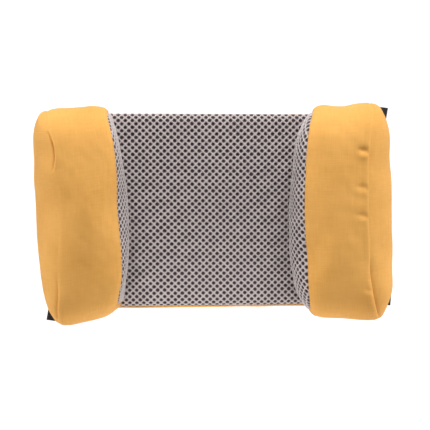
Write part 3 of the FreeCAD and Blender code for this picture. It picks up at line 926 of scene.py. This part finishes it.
def rear_sheet(name, slot, heights, columns, depth, thickness, inset, hole, seed, puff):
    """A sheet across the rear of the pad. hole(x, z) marks what is cut away."""
    z = heights[:, None]
    half = pad_half_width(np.clip(z, -PAD_Z + inset, PAD_Z - inset), inset)
    past = np.maximum(np.abs(columns) - EVEN_X, 0)[None]
    core = np.clip(columns, -EVEN_X, EVEN_X)[None]
    x = core + np.sign(columns)[None] * past * (half - EVEN_X) / (columns.max() - EVEN_X)
    x = np.clip(x, -half, half)
    grid = spread(x, depth, z)
    from_side = half - np.abs(x)
    from_end = PAD_Z - inset - np.abs(z)
    edge = np.clip(1 - np.minimum(from_side, from_end) / 4.5, 0, 1) ** 2
    from_seam = np.minimum(z - heights.min(), heights.max() - z)
    grid[..., 1] -= EDGE_DROP * edge + SEAM_DROP * bump(from_seam, 1.5)
    grid[..., 1] -= puff * (0.5 + 0.5 * np.tanh(wave_noise(grid, seed, 45)))
    mid_x = (grid[:-1, :-1, 0] + grid[1:, 1:, 0]) / 2
    mid_z = (grid[:-1, :-1, 2] + grid[1:, 1:, 2]) / 2
    keep = ~hole(mid_x, mid_z)
    sheet_piece("pad", name, slot, grid, thickness, keep=keep, normals=REARWARD)


def no_hole(x, _):
    return np.zeros(x.shape, bool)


def zip_slot(x, z):
    return (np.abs(x) < SLOT_X) & (z > SEAM_LOW - 10)


def wadding_slot(x, z):
    return (np.abs(x) < EVEN_X) & (np.abs(z - ZIP_Z) < WADDING_GAP)


def stepped(stops, pitch):
    """Places through a few stops, about one pitch apart."""
    parts = [np.linspace(a, b, max(2, int((b - a) / pitch)) + 1)[:-1]
             for a, b in zip(stops, stops[1:])]
    return np.concatenate(parts + [[stops[-1]]])


def rear_columns(half_stops):
    return stepped([-x for x in half_stops[::-1]] + half_stops, 3.5)


def rear_cloth():
    inset = 1.0
    columns = rear_columns([SLOT_X, EVEN_X, PAD_X - inset])
    for part, stops, hole, seed in (
        ("upper", (SEAM_HIGH, 86.0, 93.0, PAD_Z - inset), no_hole, 41),
        ("centre", (SEAM_LOW, SEAM_HIGH), no_hole, 42),
        ("lower", (inset - PAD_Z, -93.0, -86.0, SEAM_LOW - 10, SEAM_LOW), zip_slot, 43),
    ):
        rear_sheet(f"rear_{part}_panel", "cover_cloth", stepped(stops, 2.4), columns, 0.0, CLOTH,
                   inset, hole, seed, 0.9)


def rear_padding():
    inset = 2.5
    rows = stepped((inset - PAD_Z, ZIP_Z - WADDING_GAP, ZIP_Z + WADDING_GAP, 86.0, PAD_Z - inset),
                   2.4)
    rear_sheet("rear_wadding", "wadding", rows, rear_columns([EVEN_X, PAD_X - inset]), -2.2, 1.8,
               inset, wadding_slot, 44, 0.3)


FOAM_INSET = 4.0
FOAM_FRONT, FOAM_BACK = -22.6, -6.9
FOAM_ROUNDING = 6.0


def pad_filling():
    """The foam: a block with soft rounded edges, as a closed grid around its outline."""
    front, back = FOAM_FRONT, FOAM_BACK
    loop, out = rounded_loop(PAD_X - FOAM_INSET, PAD_Z - FOAM_INSET, 9.0, 6.0)
    turn = np.linspace(-math.pi / 2, math.pi / 2, 13)
    inset = FOAM_ROUNDING * (1 - np.cos(turn))
    y = (front + back) / 2 + (back - front) / 2 * np.sin(turn)
    rim = loop[:, None] - out[:, None] * inset[None, :, None]
    rim[..., 1] = y[None]
    levels = np.linspace(1, 0, 12)[1:]
    faces = []
    for column in (0, -1):
        edge = rim[:, column]
        spine = np.stack([np.clip(edge[:, 0], -60, 60), edge[:, 1], np.zeros(len(edge))], axis=-1)
        faces.append(spine[:, None] + (edge - spine)[:, None] * levels[None, :, None])
    grid = np.concatenate([faces[0][:, ::-1], rim, faces[1]], axis=1)
    grid[..., 1] += 0.35 * wave_noise(grid, 51, 50) * bump(grid[..., 1] - front, 4)
    b = Builder()
    b.grid(grid)
    built_piece(b, "pad", "pad_foam", "foam", weld_below=0.05)


# ---- zip ----------------------------------------------------------------------------------------

ZIP_HALF = 137.0
TAPE_EDGES = (2.8, 13.6)
TOOTH_PITCH = 1.7
COIL_WIRE = 0.42


def tube(b, path, across_a, across_b, radius, sides):
    """A closed tube along a path. The two directions across it are given at each point."""
    turn = np.arange(sides) * 2 * math.pi / sides
    ring = (np.cos(turn)[None, :, None] * across_a[:, None]
            + np.sin(turn)[None, :, None] * across_b[:, None]) * radius
    grid = path[:, None] + ring
    index = b.add(grid) + np.arange(len(path) * sides).reshape(len(path), sides)
    b.quads(np.hstack([index, index[:, :1]]))
    b.faces.append(index[0].tolist())
    b.faces.append(index[-1, ::-1].tolist())


def frames(path):
    along = unit(np.gradient(path, axis=0))
    side = np.cross(along, [0.0, 1.0, 0.0])
    weak = np.linalg.norm(side, axis=-1) < 0.3
    side[weak] = np.cross(along[weak], [0.0, 0.0, 1.0])
    side = unit(side)
    return side, np.cross(along, side)


def zip_coil(name, way):
    """A nylon coil: a flattened spiral whose loops meet those of the other coil."""
    turns = int(2 * ZIP_HALF / TOOTH_PITCH)
    steps = 12
    t = np.arange(turns * steps + 1) / steps
    angle = 2 * math.pi * t + (0 if way > 0 else math.pi)
    x = -ZIP_HALF + t * TOOTH_PITCH
    y = -1.45 + 0.72 * np.sin(angle)
    z = ZIP_Z + way * (1.05 - 1.30 * np.cos(angle))
    path = np.stack([x, y, z], axis=-1)
    b = Builder()
    side, over = frames(path)
    tube(b, path, side, over, COIL_WIRE, 6)
    built_piece(b, "pad", name, "zip_coil")


def zip_tape(name, way):
    x = np.linspace(-EVEN_X + 0.1, EVEN_X - 0.1, 110)
    low, high = sorted(ZIP_Z + way * edge for edge in TAPE_EDGES)
    grid = spread(x[None], -1.1, np.linspace(low, high, 14)[:, None])
    grid[..., 1] -= 0.12 * (0.5 + 0.5 * np.sin(grid[..., 0] / 9.3) * np.cos(grid[..., 2] / 3.1))
    sheet_piece("pad", name, "zip_tape", grid, 0.7, normals=REARWARD)


# ---- straps ---------------------------------------------------------------------------------------

WEB_WIDTH = 25.0
WEB_THICK = 1.5
HINGE_Y = 2.10
FOLD_RADIUS = 2.05
RUN_Y = 3.40
LEG_Y = 0.75
FOLD_LAP = 0.3
FOLD_GAP = 0.35
LEG_LENGTH = 66.0
TAB_LENGTH = 24.0
HOOK_FROM_END = (114.0, 48.0)
LOOP_Z = 81.0
BOX_MIDDLE = 52.5
BOX_HALF = 9.5
STRAPS = {
    "upper": {
        "fold": (-173.0, 62.2),
        "way": 1,
        "leg_rise": 5.0,
        "leg_gap": FOLD_GAP,
        "rise_at": ([0, 255, 300, 335, 358], [4.9, 4.9, 9.0, 4.0, -9.0]),
        "reach": 358.5,
        "loop": (62, 148),
        "seed": 61,
    },
    "lower": {
        "fold": (190.0, -91.0),
        "way": -1,
        "leg_rise": 6.5,
        "leg_gap": 1.6,
        "rise_at": ([0, 276, 304, 332, 350, 361], [0.9, 0.9, -25.5, -14.5, 6.0, 10.0]),
        "reach": 363.0,
        "loop": (-148, -62),
        "seed": 62,
    },
}


def strap_line(strap, distances):
    """Centre line of a closed strap in X and Z, with its direction, from the fold outwards."""
    fine = np.arange(0, 400.0, 1.0)
    rise = np.radians(curve_through(fine, *strap["rise_at"]))
    x = strap["fold"][0] + strap["way"] * np.concatenate([[0], np.cumsum(np.cos(rise))[:-1]])
    z = strap["fold"][1] + np.concatenate([[0], np.cumsum(np.sin(rise))[:-1]])
    point = np.stack([np.interp(distances, fine, x), np.interp(distances, fine, z)], axis=-1)
    angle = np.interp(distances, fine, rise)
    ahead = np.stack([strap["way"] * np.cos(angle), np.sin(angle)], axis=-1)
    return point, ahead


def ribbon(body, node, slot, line, y, width, thickness, seed, wave=0.12, look=""):
    """A webbing ribbon lying in planes parallel to the rear face, its outer face towards +Y."""
    centre, ahead = line
    t = np.linspace(-1, 1, 13)
    side = np.stack([-ahead[:, 1], ahead[:, 0]], axis=-1)
    edge = centre[:, None] + side[:, None] * (t * width / 2)[None, :, None]
    grid = spread(edge[..., 0], y + thickness / 2, edge[..., 1])
    grid[..., 1] += wave * np.tanh(wave_noise(grid, seed, 55))
    grid[..., 1] -= 0.22 * np.abs(t[None]) ** 8
    run = arc_lengths(centre[:, None], 0)[:, 0]
    weave = spread((t * width / 2)[None], run[:, None], 0.0) * MM
    sheet_piece(body, node, slot, grid, thickness, look, weave=weave, normals=REARWARD)


def strap_run(which):
    """The free run of a strap and the doubled tab sewn at its end."""
    strap = STRAPS[which]
    reach = strap["reach"]
    run = strap_line(strap, np.linspace(FOLD_GAP, reach, 150))
    tab = strap_line(strap, np.linspace(reach - TAB_LENGTH, reach - 0.2, 16))
    body, node = f"{which}_strap", f"{which}_strap_webbing"
    ribbon(body, node, "webbing", run, RUN_Y, WEB_WIDTH, WEB_THICK, strap["seed"])
    ribbon(body, node, "webbing", tab, RUN_Y + WEB_THICK, WEB_WIDTH - 0.3, WEB_THICK,
           strap["seed"], look=f"{which}_strap_tab_look")


def leg_direction(strap):
    angle = math.radians(strap["leg_rise"])
    return np.array([strap["way"] * math.cos(angle), math.sin(angle)])


def strap_leg(which):
    """The sewn leg on the rear of the pad, from the fold inwards."""
    strap = STRAPS[which]
    distances = np.linspace(strap["leg_gap"], LEG_LENGTH, 34)
    ahead = leg_direction(strap)
    line = np.array(strap["fold"]) + distances[:, None] * ahead, np.tile(ahead, (34, 1))
    ribbon("pad", f"{which}_strap_anchor", "webbing", line, LEG_Y, WEB_WIDTH, WEB_THICK,
           strap["seed"] + 5, wave=0.04)


def strap_turn(which):
    """The fold between the sewn leg and the run, turning from the leg's direction to the run's."""
    strap = STRAPS[which]
    quarter = math.pi / 2
    turn = np.concatenate([[-quarter], np.linspace(-quarter, quarter, 17), [quarter]])
    lap = np.zeros(len(turn))
    lap[0], lap[-1] = strap["leg_gap"] - 0.05, FOLD_LAP
    part = np.linspace(0, 1, len(turn))
    angle = np.radians(strap["leg_rise"] * (1 - part) + strap["rise_at"][1][0] * part)
    back = -np.stack([strap["way"] * np.cos(angle), np.sin(angle)], axis=-1)
    side = np.stack([-back[:, 1], back[:, 0]], axis=-1)
    centre = np.array(strap["fold"]) + back * (FOLD_RADIUS * np.cos(turn) - lap)[:, None]
    across = np.linspace(-1, 1, 13) * WEB_WIDTH / 2
    flat = centre[:, None] + side[:, None] * across[None, :, None]
    grid = spread(flat[..., 0], (HINGE_Y + FOLD_RADIUS * np.sin(turn))[:, None], flat[..., 1])
    normals = np.stack([back[:, 0] * np.cos(turn), np.sin(turn), back[:, 1] * np.cos(turn)], axis=-1)
    obj = sheet(f"{which}_strap_turn", grid, WEB_THICK, MATERIALS["webbing"],
                normals=normals[:, None])
    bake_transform(obj)
    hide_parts(f"{which}_strap_webbing")


def hook_patch(which):
    """Hook tape under the run, near its end."""
    strap = STRAPS[which]
    first, last = (strap["reach"] - d for d in HOOK_FROM_END)
    ribbon(f"{which}_strap", f"{which}_strap_hook_patch", "hook_tape",
           strap_line(strap, np.linspace(first, last, 30)), 2.05, 23.0, 1.1, strap["seed"] + 7,
           wave=0.02)


def loop_patch(which):
    """Loop tape on the rear cloth, which the hook tape grips."""
    x = np.linspace(*STRAPS[which]["loop"], 40)
    line = np.stack([x, np.full(40, STRAPS[which]["way"] * LOOP_Z)], axis=-1), np.tile([1, 0], (40, 1))
    ribbon("pad", f"{which}_loop_patch", "loop_tape", line, 0.7, 30.0, 1.35, 71, wave=0.04)


def stitch_line(b, start, end, y, pitch=2.6, length=2.0):
    """A row of short rounded stitches between two points of the rear plane."""
    start, end = np.asarray(start, float), np.asarray(end, float)
    span = np.linalg.norm(end - start)
    ahead = (end - start) / span
    count = max(2, int(span / pitch))
    t = np.linspace(-0.5, 0.5, 6)
    for k in range(count):
        middle = start + ahead * (k + 0.5) * span / count
        flat = middle + ahead * (t * length)[:, None]
        rise = 0.16 * (1 - (2 * t) ** 2)
        path = np.stack([flat[:, 0], y + rise, flat[:, 1]], axis=-1)
        side, over = frames(path)
        tube(b, path, side, over, 0.24, 6)


def box_stitching(which):
    """The sewn square with its two diagonals on a leg."""
    strap = STRAPS[which]
    ahead = leg_direction(strap)
    side = np.array([-ahead[1], ahead[0]])
    middle = np.array(strap["fold"]) + ahead * BOX_MIDDLE
    corners = [middle + BOX_HALF * (a * ahead + c * side)
               for a, c in ((1, 1), (1, -1), (-1, -1), (-1, 1))]
    b = Builder()
    for first, last in ((0, 1), (1, 2), (2, 3), (3, 0), (0, 2), (1, 3)):
        stitch_line(b, corners[first], corners[last], 1.5)
    built_piece(b, "pad", f"{which}_anchor_stitching", "thread")


# ---- materials --------------------------------------------------------------------------------------

class Nodes:
    """Short names for building one node material."""

    def __init__(self, name, rough, sheen=0.0):
        self.material = bpy.data.materials.new(name)
        self.material.use_nodes = True
        self.tree = self.material.node_tree
        self.surface = self.tree.nodes["Principled BSDF"]
        self.surface.inputs["Roughness"].default_value = rough
        self.surface.inputs["Sheen Weight"].default_value = sheen

    def node(self, kind, **settings):
        made = self.tree.nodes.new(kind)
        for key, value in settings.items():
            setattr(made, key, value)
        return made

    def link(self, source, target):
        self.tree.links.new(source, target)

    def feed(self, socket, value):
        if isinstance(value, (int, float)):
            socket.default_value = value
        else:
            self.link(value, socket)

    def maths(self, operation, first, second=0.0, third=0.0):
        made = self.node("ShaderNodeMath", operation=operation)
        for socket, value in zip(made.inputs, (first, second, third)):
            self.feed(socket, value)
        return made.outputs[0]

    def total(self, *terms):
        """A sum of values, each times its own weight."""
        result = 0.0
        for value, weight in terms:
            result = self.maths("MULTIPLY_ADD", value, weight, result)
        return result

    def wave(self, value, pitch):
        """A sine wave that repeats every pitch metres."""
        return self.maths("SINE", self.maths("MULTIPLY", value, 2 * math.pi / pitch))

    def position(self):
        return self.node("ShaderNodeTexCoord").outputs["Object"]

    def scaled(self, vector, factors):
        made = self.node("ShaderNodeMapping")
        made.inputs["Scale"].default_value = factors
        self.link(vector, made.inputs["Vector"])
        return made.outputs[0]

    def cells(self, vector, size, randomness=1.0):
        """Distance from the middle of the nearest of many small cells."""
        made = self.node("ShaderNodeTexVoronoi")
        made.inputs["Scale"].default_value = 1 / size
        made.inputs["Randomness"].default_value = randomness
        self.link(vector, made.inputs["Vector"])
        return made.outputs["Distance"]

    def weave(self):
        """The cloth coordinate of a point, split into across, along and a third value: on the net, the
        painted shade of its holes, which grows with their depth.
        """
        made = self.node("ShaderNodeAttribute", attribute_name="weave")
        split = self.node("ShaderNodeSeparateXYZ")
        self.link(made.outputs["Vector"], split.inputs[0])
        return made.outputs["Vector"], split.outputs[0], split.outputs[1], split.outputs[2]

    def noise(self, vector, scale, detail=2.0, rough=0.5):
        made = self.node("ShaderNodeTexNoise")
        made.inputs["Scale"].default_value = scale
        made.inputs["Detail"].default_value = detail
        made.inputs["Roughness"].default_value = rough
        self.link(vector, made.inputs["Vector"])
        return made.outputs[0]

    def ramp(self, value, stops):
        made = self.node("ShaderNodeValToRGB")
        elements = made.color_ramp.elements
        for _ in range(len(stops) - 2):
            elements.new(0.5)
        for element, (place, colour) in zip(elements, stops):
            element.position = place
            element.color = (*colour, 1)
        self.link(value, made.inputs[0])
        return made.outputs[0]

    def bump(self, height, distance, strength=1.0):
        made = self.node("ShaderNodeBump")
        made.inputs["Distance"].default_value = distance
        made.inputs["Strength"].default_value = strength
        self.link(height, made.inputs["Height"])
        self.link(made.outputs[0], self.surface.inputs["Normal"])

    def colour(self, output):
        self.link(output, self.surface.inputs["Base Color"])


def cloth_material(name, dark, light):
    """Plain-weave polyester: over and under threads, with slubs and slow colour drift."""
    n = Nodes(name, 0.9, 0.05)
    n.surface.inputs["Specular IOR Level"].default_value = 0.12
    vector, across, along, _ = n.weave()
    over = n.maths("MULTIPLY", n.wave(across, 0.00062), n.wave(along, 0.00062))
    slub_warp = n.noise(n.scaled(vector, (900, 60, 1)), 1.0)
    slub_weft = n.noise(n.scaled(vector, (60, 900, 1)), 1.0)
    drift = n.noise(n.position(), 28.0, 3.0)
    threads = n.maths("ADD", slub_warp, slub_weft)
    tone = n.total((threads, 0.26), (drift, 0.45), (over, 0.05))
    n.colour(n.ramp(tone, ((0.25, dark), (0.75, light))))
    n.bump(n.total((over, 0.6), (threads, 0.6)), 0.00012, 0.5)
    return n.material


def net_material(name):
    """Spacer mesh: pale cords, with painted shade on the hole flanks and a painted nearly black shade
    on the hole floors.
    """
    n = Nodes(name, 0.85, 0.2)
    vector, across, along, hole_shade = n.weave()
    fuzz = n.noise(n.scaled(vector, (1, 1, 0)), 2600.0, 3.0)
    drift = n.noise(n.position(), 22.0, 2.0)
    # Painted shade in the holes, plus random fuzz and slow drift in tone.
    level = n.total((hole_shade, 1.0), (n.maths("SUBTRACT", fuzz, 0.5), 0.30),
                    (n.maths("SUBTRACT", drift, 0.5), 0.12))
    n.colour(n.ramp(level, ((0.02, (0.62, 0.555, 0.54)), (0.34, (0.37, 0.315, 0.31)),
                            (0.66, (0.16, 0.12, 0.127)), (0.95, (0.075, 0.056, 0.062)))))
    knit = n.maths("SINE", n.maths("MULTIPLY", n.maths("ADD", across, along), 5200.0))
    n.bump(n.total((fuzz, 0.7), (knit, 0.25)), 0.00018, 0.5)
    return n.material


def webbing_material(name):
    """Black woven webbing: ribs along it, with small steps across."""
    n = Nodes(name, 0.7, 0.05)
    vector, across, along, _ = n.weave()
    fuzz = n.noise(vector, 1500.0, 3.0)
    height = n.total((n.wave(across, 0.0016), 0.5), (n.wave(along, 0.0013), 0.3), (fuzz, 0.3))
    n.colour(n.ramp(n.total((height, 0.4), (1.0, 0.45)),
                    ((0.2, (0.002, 0.002, 0.003)), (0.8, (0.012, 0.012, 0.014)))))
    n.bump(height, 0.0003, 0.7)
    return n.material


def tape_material(name, dark, light, cell, depth):
    """Hook or loop tape: a field of small tufts."""
    n = Nodes(name, 0.9, 0.4)
    vector = n.weave()[0]
    tufts = n.cells(vector, cell, 0.55)
    height = n.total((n.noise(vector, 2.2 / cell, 4.0), 1.0), (tufts, -0.9))
    n.colour(n.ramp(height, ((0.0, dark), (0.7, light))))
    n.bump(height, depth, 0.8)
    return n.material


def zip_tape_material(name):
    """Woven zip tape: a fine herringbone."""
    n = Nodes(name, 0.75, 0.2)
    vector, across, along, _ = n.weave()
    chevron = n.maths("PINGPONG", across, 0.0015)
    twill = n.maths("SINE", n.maths("MULTIPLY", n.maths("ADD", along, chevron), 9000.0))
    tone = n.total((twill, 0.2), (n.noise(vector, 300.0, 3.0), 1.0))
    n.colour(n.ramp(tone, ((0.3, (0.62, 0.28, 0.05)), (0.7, (0.80, 0.41, 0.09)))))
    n.bump(twill, 0.0001, 0.6)
    return n.material


def grained_material(name, dark, light, rough, scale, depth, metallic=0.0, stretch=(1, 1, 1)):
    """A surface with fine grain: plated metal, nylon, board or thread."""
    n = Nodes(name, rough)
    n.surface.inputs["Metallic"].default_value = metallic
    grain = n.noise(n.scaled(n.position(), stretch), scale, 4.0, 0.6)
    slow = n.noise(n.position(), scale / 14, 2.0)
    n.colour(n.ramp(n.total((grain, 0.6), (slow, 0.4)), ((0.35, dark), (0.65, light))))
    n.link(n.total((grain, 0.25), (1.0, rough - 0.12)), n.surface.inputs["Roughness"])
    n.bump(grain, depth, 0.5)
    return n.material


def foam_material(name, dark, light):
    """Open-cell foam."""
    n = Nodes(name, 0.95)
    cells = n.cells(n.position(), 1 / 900)
    tone = n.total((cells, 0.6), (n.noise(n.position(), 60.0, 3.0), 1.0))
    n.colour(n.ramp(tone, ((0.4, dark), (0.9, light))))
    n.bump(cells, 0.0005, 0.7)
    return n.material


def wadding_material(name, dark, light):
    """Polyester wadding: long soft fibres."""
    n = Nodes(name, 0.95, 0.3)
    fibres = n.noise(n.scaled(n.position(), (220, 220, 2400)), 1.0, 5.0, 0.7)
    tone = n.total((fibres, 0.5), (n.noise(n.position(), 45.0, 3.0), 0.5))
    n.colour(n.ramp(tone, ((0.3, dark), (0.7, light))))
    n.bump(tone, 0.0006, 0.7)
    return n.material


MATERIALS = {
    "cover_cloth": cloth_material("yellow cover cloth", (0.71, 0.34, 0.074), (0.89, 0.475, 0.132)),
    "spacer_mesh": net_material("grey spacer mesh"),
    "webbing": webbing_material("black webbing"),
    "hook_tape": tape_material("black hook tape", (0.004, 0.004, 0.004), (0.03, 0.03, 0.032),
                               0.0011, 0.0005),
    "loop_tape": tape_material("black loop tape", (0.005, 0.005, 0.005), (0.028, 0.028, 0.03),
                               0.0006, 0.0004),
    "zip_tape": zip_tape_material("orange zip tape"),
    "zip_coil": grained_material("orange nylon coil", (0.60, 0.26, 0.04), (0.80, 0.40, 0.08),
                                 0.38, 700.0, 0.00004),
    "zip_metal": grained_material("plated zinc", (0.42, 0.42, 0.43), (0.60, 0.60, 0.61), 0.34,
                                  900.0, 0.00003, metallic=1.0, stretch=(1, 4, 1)),
    "thread": grained_material("black thread", (0.006, 0.006, 0.007), (0.03, 0.03, 0.033), 0.6,
                               2500.0, 0.00008, stretch=(1, 1, 3)),
    "foam": foam_material("pale yellow foam", (0.62, 0.50, 0.22), (0.85, 0.75, 0.45)),
    "board": grained_material("grey board", (0.20, 0.19, 0.18), (0.34, 0.33, 0.31), 0.75, 240.0,
                              0.00015, stretch=(1, 1, 6)),
    "wadding": wadding_material("white wadding", (0.70, 0.70, 0.71), (0.88, 0.88, 0.87)),
}


# ---- building ---------------------------------------------------------------------------------------

def inner_net_place(surface, loop, side):
    """Lays the flat net on the inner face of a bolster and tucks it in under the band."""
    verts = [Vector(p) for p in surface.reshape(-1, 3)]
    index = np.arange(len(verts)).reshape(surface.shape[:2])
    tree = BVHTree.FromPolygons(verts, quads_of(index).tolist())
    way = side["sign"]
    outward = loop_outward(loop)
    outline = loop - outward * NET_TUCK
    following = np.roll(outline, -1, axis=0)
    ends = outline[:, 1:]

    def place(flat):
        gap, near, part = nearest_side(flat, ends)
        inside = inside_loop(flat, ends)
        point = outline[near] + part[:, None] * (following[near] - outline[near])
        normal = outward[near]
        point[~inside, 0] += way * gap[~inside]
        for k in np.flatnonzero(inside):
            origin = Vector((-way * 10.0, flat[k, 0], flat[k, 1]))
            hit, facing, _, _ = tree.ray_cast(origin, Vector((way, 0, 0)))
            if hit is not None:
                point[k] = hit
                normal[k] = facing
                if facing[0] * way > 0:
                    normal[k] *= -1
        return point, normal

    return place, ends


def inner_net(surface, loop, side, body):
    """The net on the inner face, with a little to spare under the band."""
    place, ends = inner_net_place(surface, loop, side)
    low, high = ends.min(axis=0) - 4, ends.max(axis=0) + 4
    cells = lattice_cells(low[0], high[0], low[1], high[1])
    flat = lattice_to_flat(cells.astype(float))
    keep = inside_loop(flat, ends) | (nearest_side(flat, ends)[0] < NET_OVERLAP)
    net_piece(body, f"{body}_inner_mesh", cells[keep], place, side["seed"])


STRIP_OFFSET = 20.0
STRIP_HALF_WIDTH, STRIP_HALF_LENGTH = 10.0, 76.0
STRIP_THICK = 1.05


def hook_strips(side, body):
    """Two strips of hook tape that lean with the bolster and grip the face of the pad."""
    b = Builder()
    middle, lean = side["strips_middle"], math.tan(side["lean"])
    x = np.linspace(-STRIP_HALF_WIDTH, STRIP_HALF_WIDTH, 11)[None]
    z = np.linspace(-STRIP_HALF_LENGTH, STRIP_HALF_LENGTH, 70)[:, None]
    for offset in (-STRIP_OFFSET, STRIP_OFFSET):
        grid = spread(middle + offset + x - lean * z, BASE_Y + BASE_SKIN + 1.15,
                      z + lean * (offset + x))
        grid[..., 1] -= 0.1 * (0.5 + 0.5 * np.sin(grid[..., 2] * 1.9) * np.sin(grid[..., 0] * 1.9))
        thick_grid(b, grid, STRIP_THICK, REARWARD)
    built_piece(b, body, f"{body}_hook_strips", "hook_tape", weld_below=0.01)


def bolster(which):
    side = SIDES[which]
    body = f"{which}_bolster"
    inner, outer = seam_loop(side, "inner"), seam_loop(side, "outer")
    way, shoulder = side["sign"], side["top_shoulder"]
    grids = [
        band_grid(side, inner, outer),
        crowned(inner, side["inner_crown"], (-way, 0, 0), 0.8, 32.0, shoulder, 0.0),
        crowned(outer, side["outer_crown"], (way * 0.95, -0.30, 0), 0.55, 34.0, shoulder,
                side["waist"]),
    ]
    grids = stuffed(side, grids)
    shell = shell_normals(side, grids)
    band, inner_panel, outer_panel = grids
    top, normals = band_surface(side, band, shell[0], BOXING_ROWS)
    sheet_piece(body, f"{body}_boxing", "cover_cloth", top, CLOTH, normals=normals)
    top, _ = band_surface(side, band, shell[0], BASE_ROWS, sewn=False)
    top[..., 1] = BASE_Y + BASE_SKIN
    sheet_piece(body, f"{body}_base_panel", "cover_cloth", top, BASE_SKIN, normals=REARWARD)
    top, normals = side_surface(side, outer_panel, shell[2], "outer")
    sheet_piece(body, f"{body}_outer_panel", "cover_cloth", top, CLOTH, normals=normals)
    top, _ = side_surface(side, inner_panel, shell[1], "inner")
    inner_net(top, band[:, 0], side, body)
    stuffing(body, grids, shell)
    hook_strips(side, body)


def dress_cad_pieces():
    """The rigid pieces keep their CAD shapes and get a material each."""
    for node, slot in (("pad_board", "board"), ("zip_stops", "zip_metal"),
                       ("zip_slider", "zip_metal"), ("zip_pull", "zip_metal")):
        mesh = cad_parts[node].data
        mesh.materials.clear()
        mesh.materials.append(MATERIALS[slot])


CAMERA_TARGET = Vector((0, -0.050, -0.0026))
CAMERA_DISTANCE = 0.848


def camera():
    azimuth, elevation = math.radians(-4.0), math.radians(4.0)
    back = Vector((math.sin(azimuth) * math.cos(elevation),
                   -math.cos(azimuth) * math.cos(elevation), math.sin(elevation)))
    data = bpy.data.cameras.new("camera")
    data.sensor_width = 36.0
    data.lens = 72.2
    obj = bpy.data.objects.new("camera", data)
    obj.location = CAMERA_TARGET + back * CAMERA_DISTANCE
    obj.rotation_euler = (-back).to_track_quat("-Z", "Y").to_euler()
    bpy.context.scene.collection.objects.link(obj)
    bpy.context.scene.camera = obj


FLOOR_Z = -119.0
TABLE_GLOW = 3.0


def floor_material():
    """Pale floor: white to the camera, and a soft glow near the object."""
    n = Nodes("pale floor", 0.9)
    n.colour(n.ramp(n.noise(n.position(), 3.0, 2.0),
                    ((0.3, (0.19, 0.19, 0.19)), (0.7, (0.21, 0.21, 0.21)))))
    n.surface.inputs["Emission Color"].default_value = (1, 1, 1, 1)
    n.surface.inputs["Specular IOR Level"].default_value = 0.0
    seen = n.node("ShaderNodeLightPath").outputs["Is Camera Ray"]
    reach = n.node("ShaderNodeVectorMath", operation="LENGTH")
    n.link(n.position(), reach.inputs[0])
    near = n.maths("POWER", 2.72, n.maths("MULTIPLY", reach.outputs["Value"], -7.0))
    glow = n.maths("MULTIPLY", n.total((near, TABLE_GLOW), (1.0, 0.08)),
                   n.maths("SUBTRACT", 1.0, seen))
    n.link(n.maths("ADD", seen, glow), n.surface.inputs["Emission Strength"])
    return n.material


def backdrop():
    """A plain pale floor that turns up into a wall far behind."""
    turn = np.linspace(0, math.pi / 2, 14)[1:]
    depth = np.concatenate([np.linspace(-2500, 1200, 12), 1200 + 800 * np.sin(turn),
                            np.full(6, 2000.0)])
    height = np.concatenate([np.zeros(12), 800 * (1 - np.cos(turn)),
                             np.linspace(800, 3500, 7)[1:]]) + FLOOR_Z
    b = Builder()
    b.grid(spread(np.linspace(-4000, 4000, 9)[None], depth[:, None], height[:, None]), flip=True)
    b.object("floor", floor_material())


def area_light(name, location, size, power):
    data = bpy.data.lights.new(name, "AREA")
    data.shape = "SQUARE"
    data.size = size
    data.energy = power
    obj = bpy.data.objects.new(name, data)
    obj.location = location
    aim = Vector((0, -0.05, 0)) - Vector(location)
    obj.rotation_euler = aim.to_track_quat("-Z", "Y").to_euler()
    bpy.context.scene.collection.objects.link(obj)


AMBIENT = 0.035
LIGHTS = (
    ("top light", (0.0, -0.50, 0.88), 0.6, 12.0),
    ("left light", (-1.5, -0.10, 0.15), 0.8, 17.0),
    ("right light", (1.5, -0.10, 0.15), 0.8, 20.0),
    ("rear light", (0.3, 1.4, 1.1), 0.8, 9.0),
)


def lighting():
    world = bpy.data.worlds.new("white room")
    world.use_nodes = True
    background = world.node_tree.nodes["Background"]
    background.inputs["Color"].default_value = (1, 1, 1, 1)
    path = world.node_tree.nodes.new("ShaderNodeLightPath")
    strength = world.node_tree.nodes.new("ShaderNodeMath")
    strength.operation = "MULTIPLY_ADD"
    strength.inputs[1].default_value = 1.0 - AMBIENT
    strength.inputs[2].default_value = AMBIENT
    world.node_tree.links.new(path.outputs["Is Camera Ray"], strength.inputs[0])
    world.node_tree.links.new(strength.outputs[0], background.inputs["Strength"])
    bpy.context.scene.world = world
    for light in LIGHTS:
        area_light(*light)


for which_side in SIDES:
    bolster(which_side)
pad_front()
pad_boxing()
rear_cloth()
rear_padding()
pad_filling()
for zip_half, half_way in (("upper", 1), ("lower", -1)):
    zip_tape(f"zip_{zip_half}_tape", half_way)
    zip_coil(f"zip_{zip_half}_coil", half_way)
for which_strap in STRAPS:
    for build in (strap_run, strap_leg, strap_turn, hook_patch, loop_patch, box_stitching):
        build(which_strap)
dress_cad_pieces()
camera()
backdrop()
lighting()
bpy.context.scene.view_settings.view_transform = "Standard"
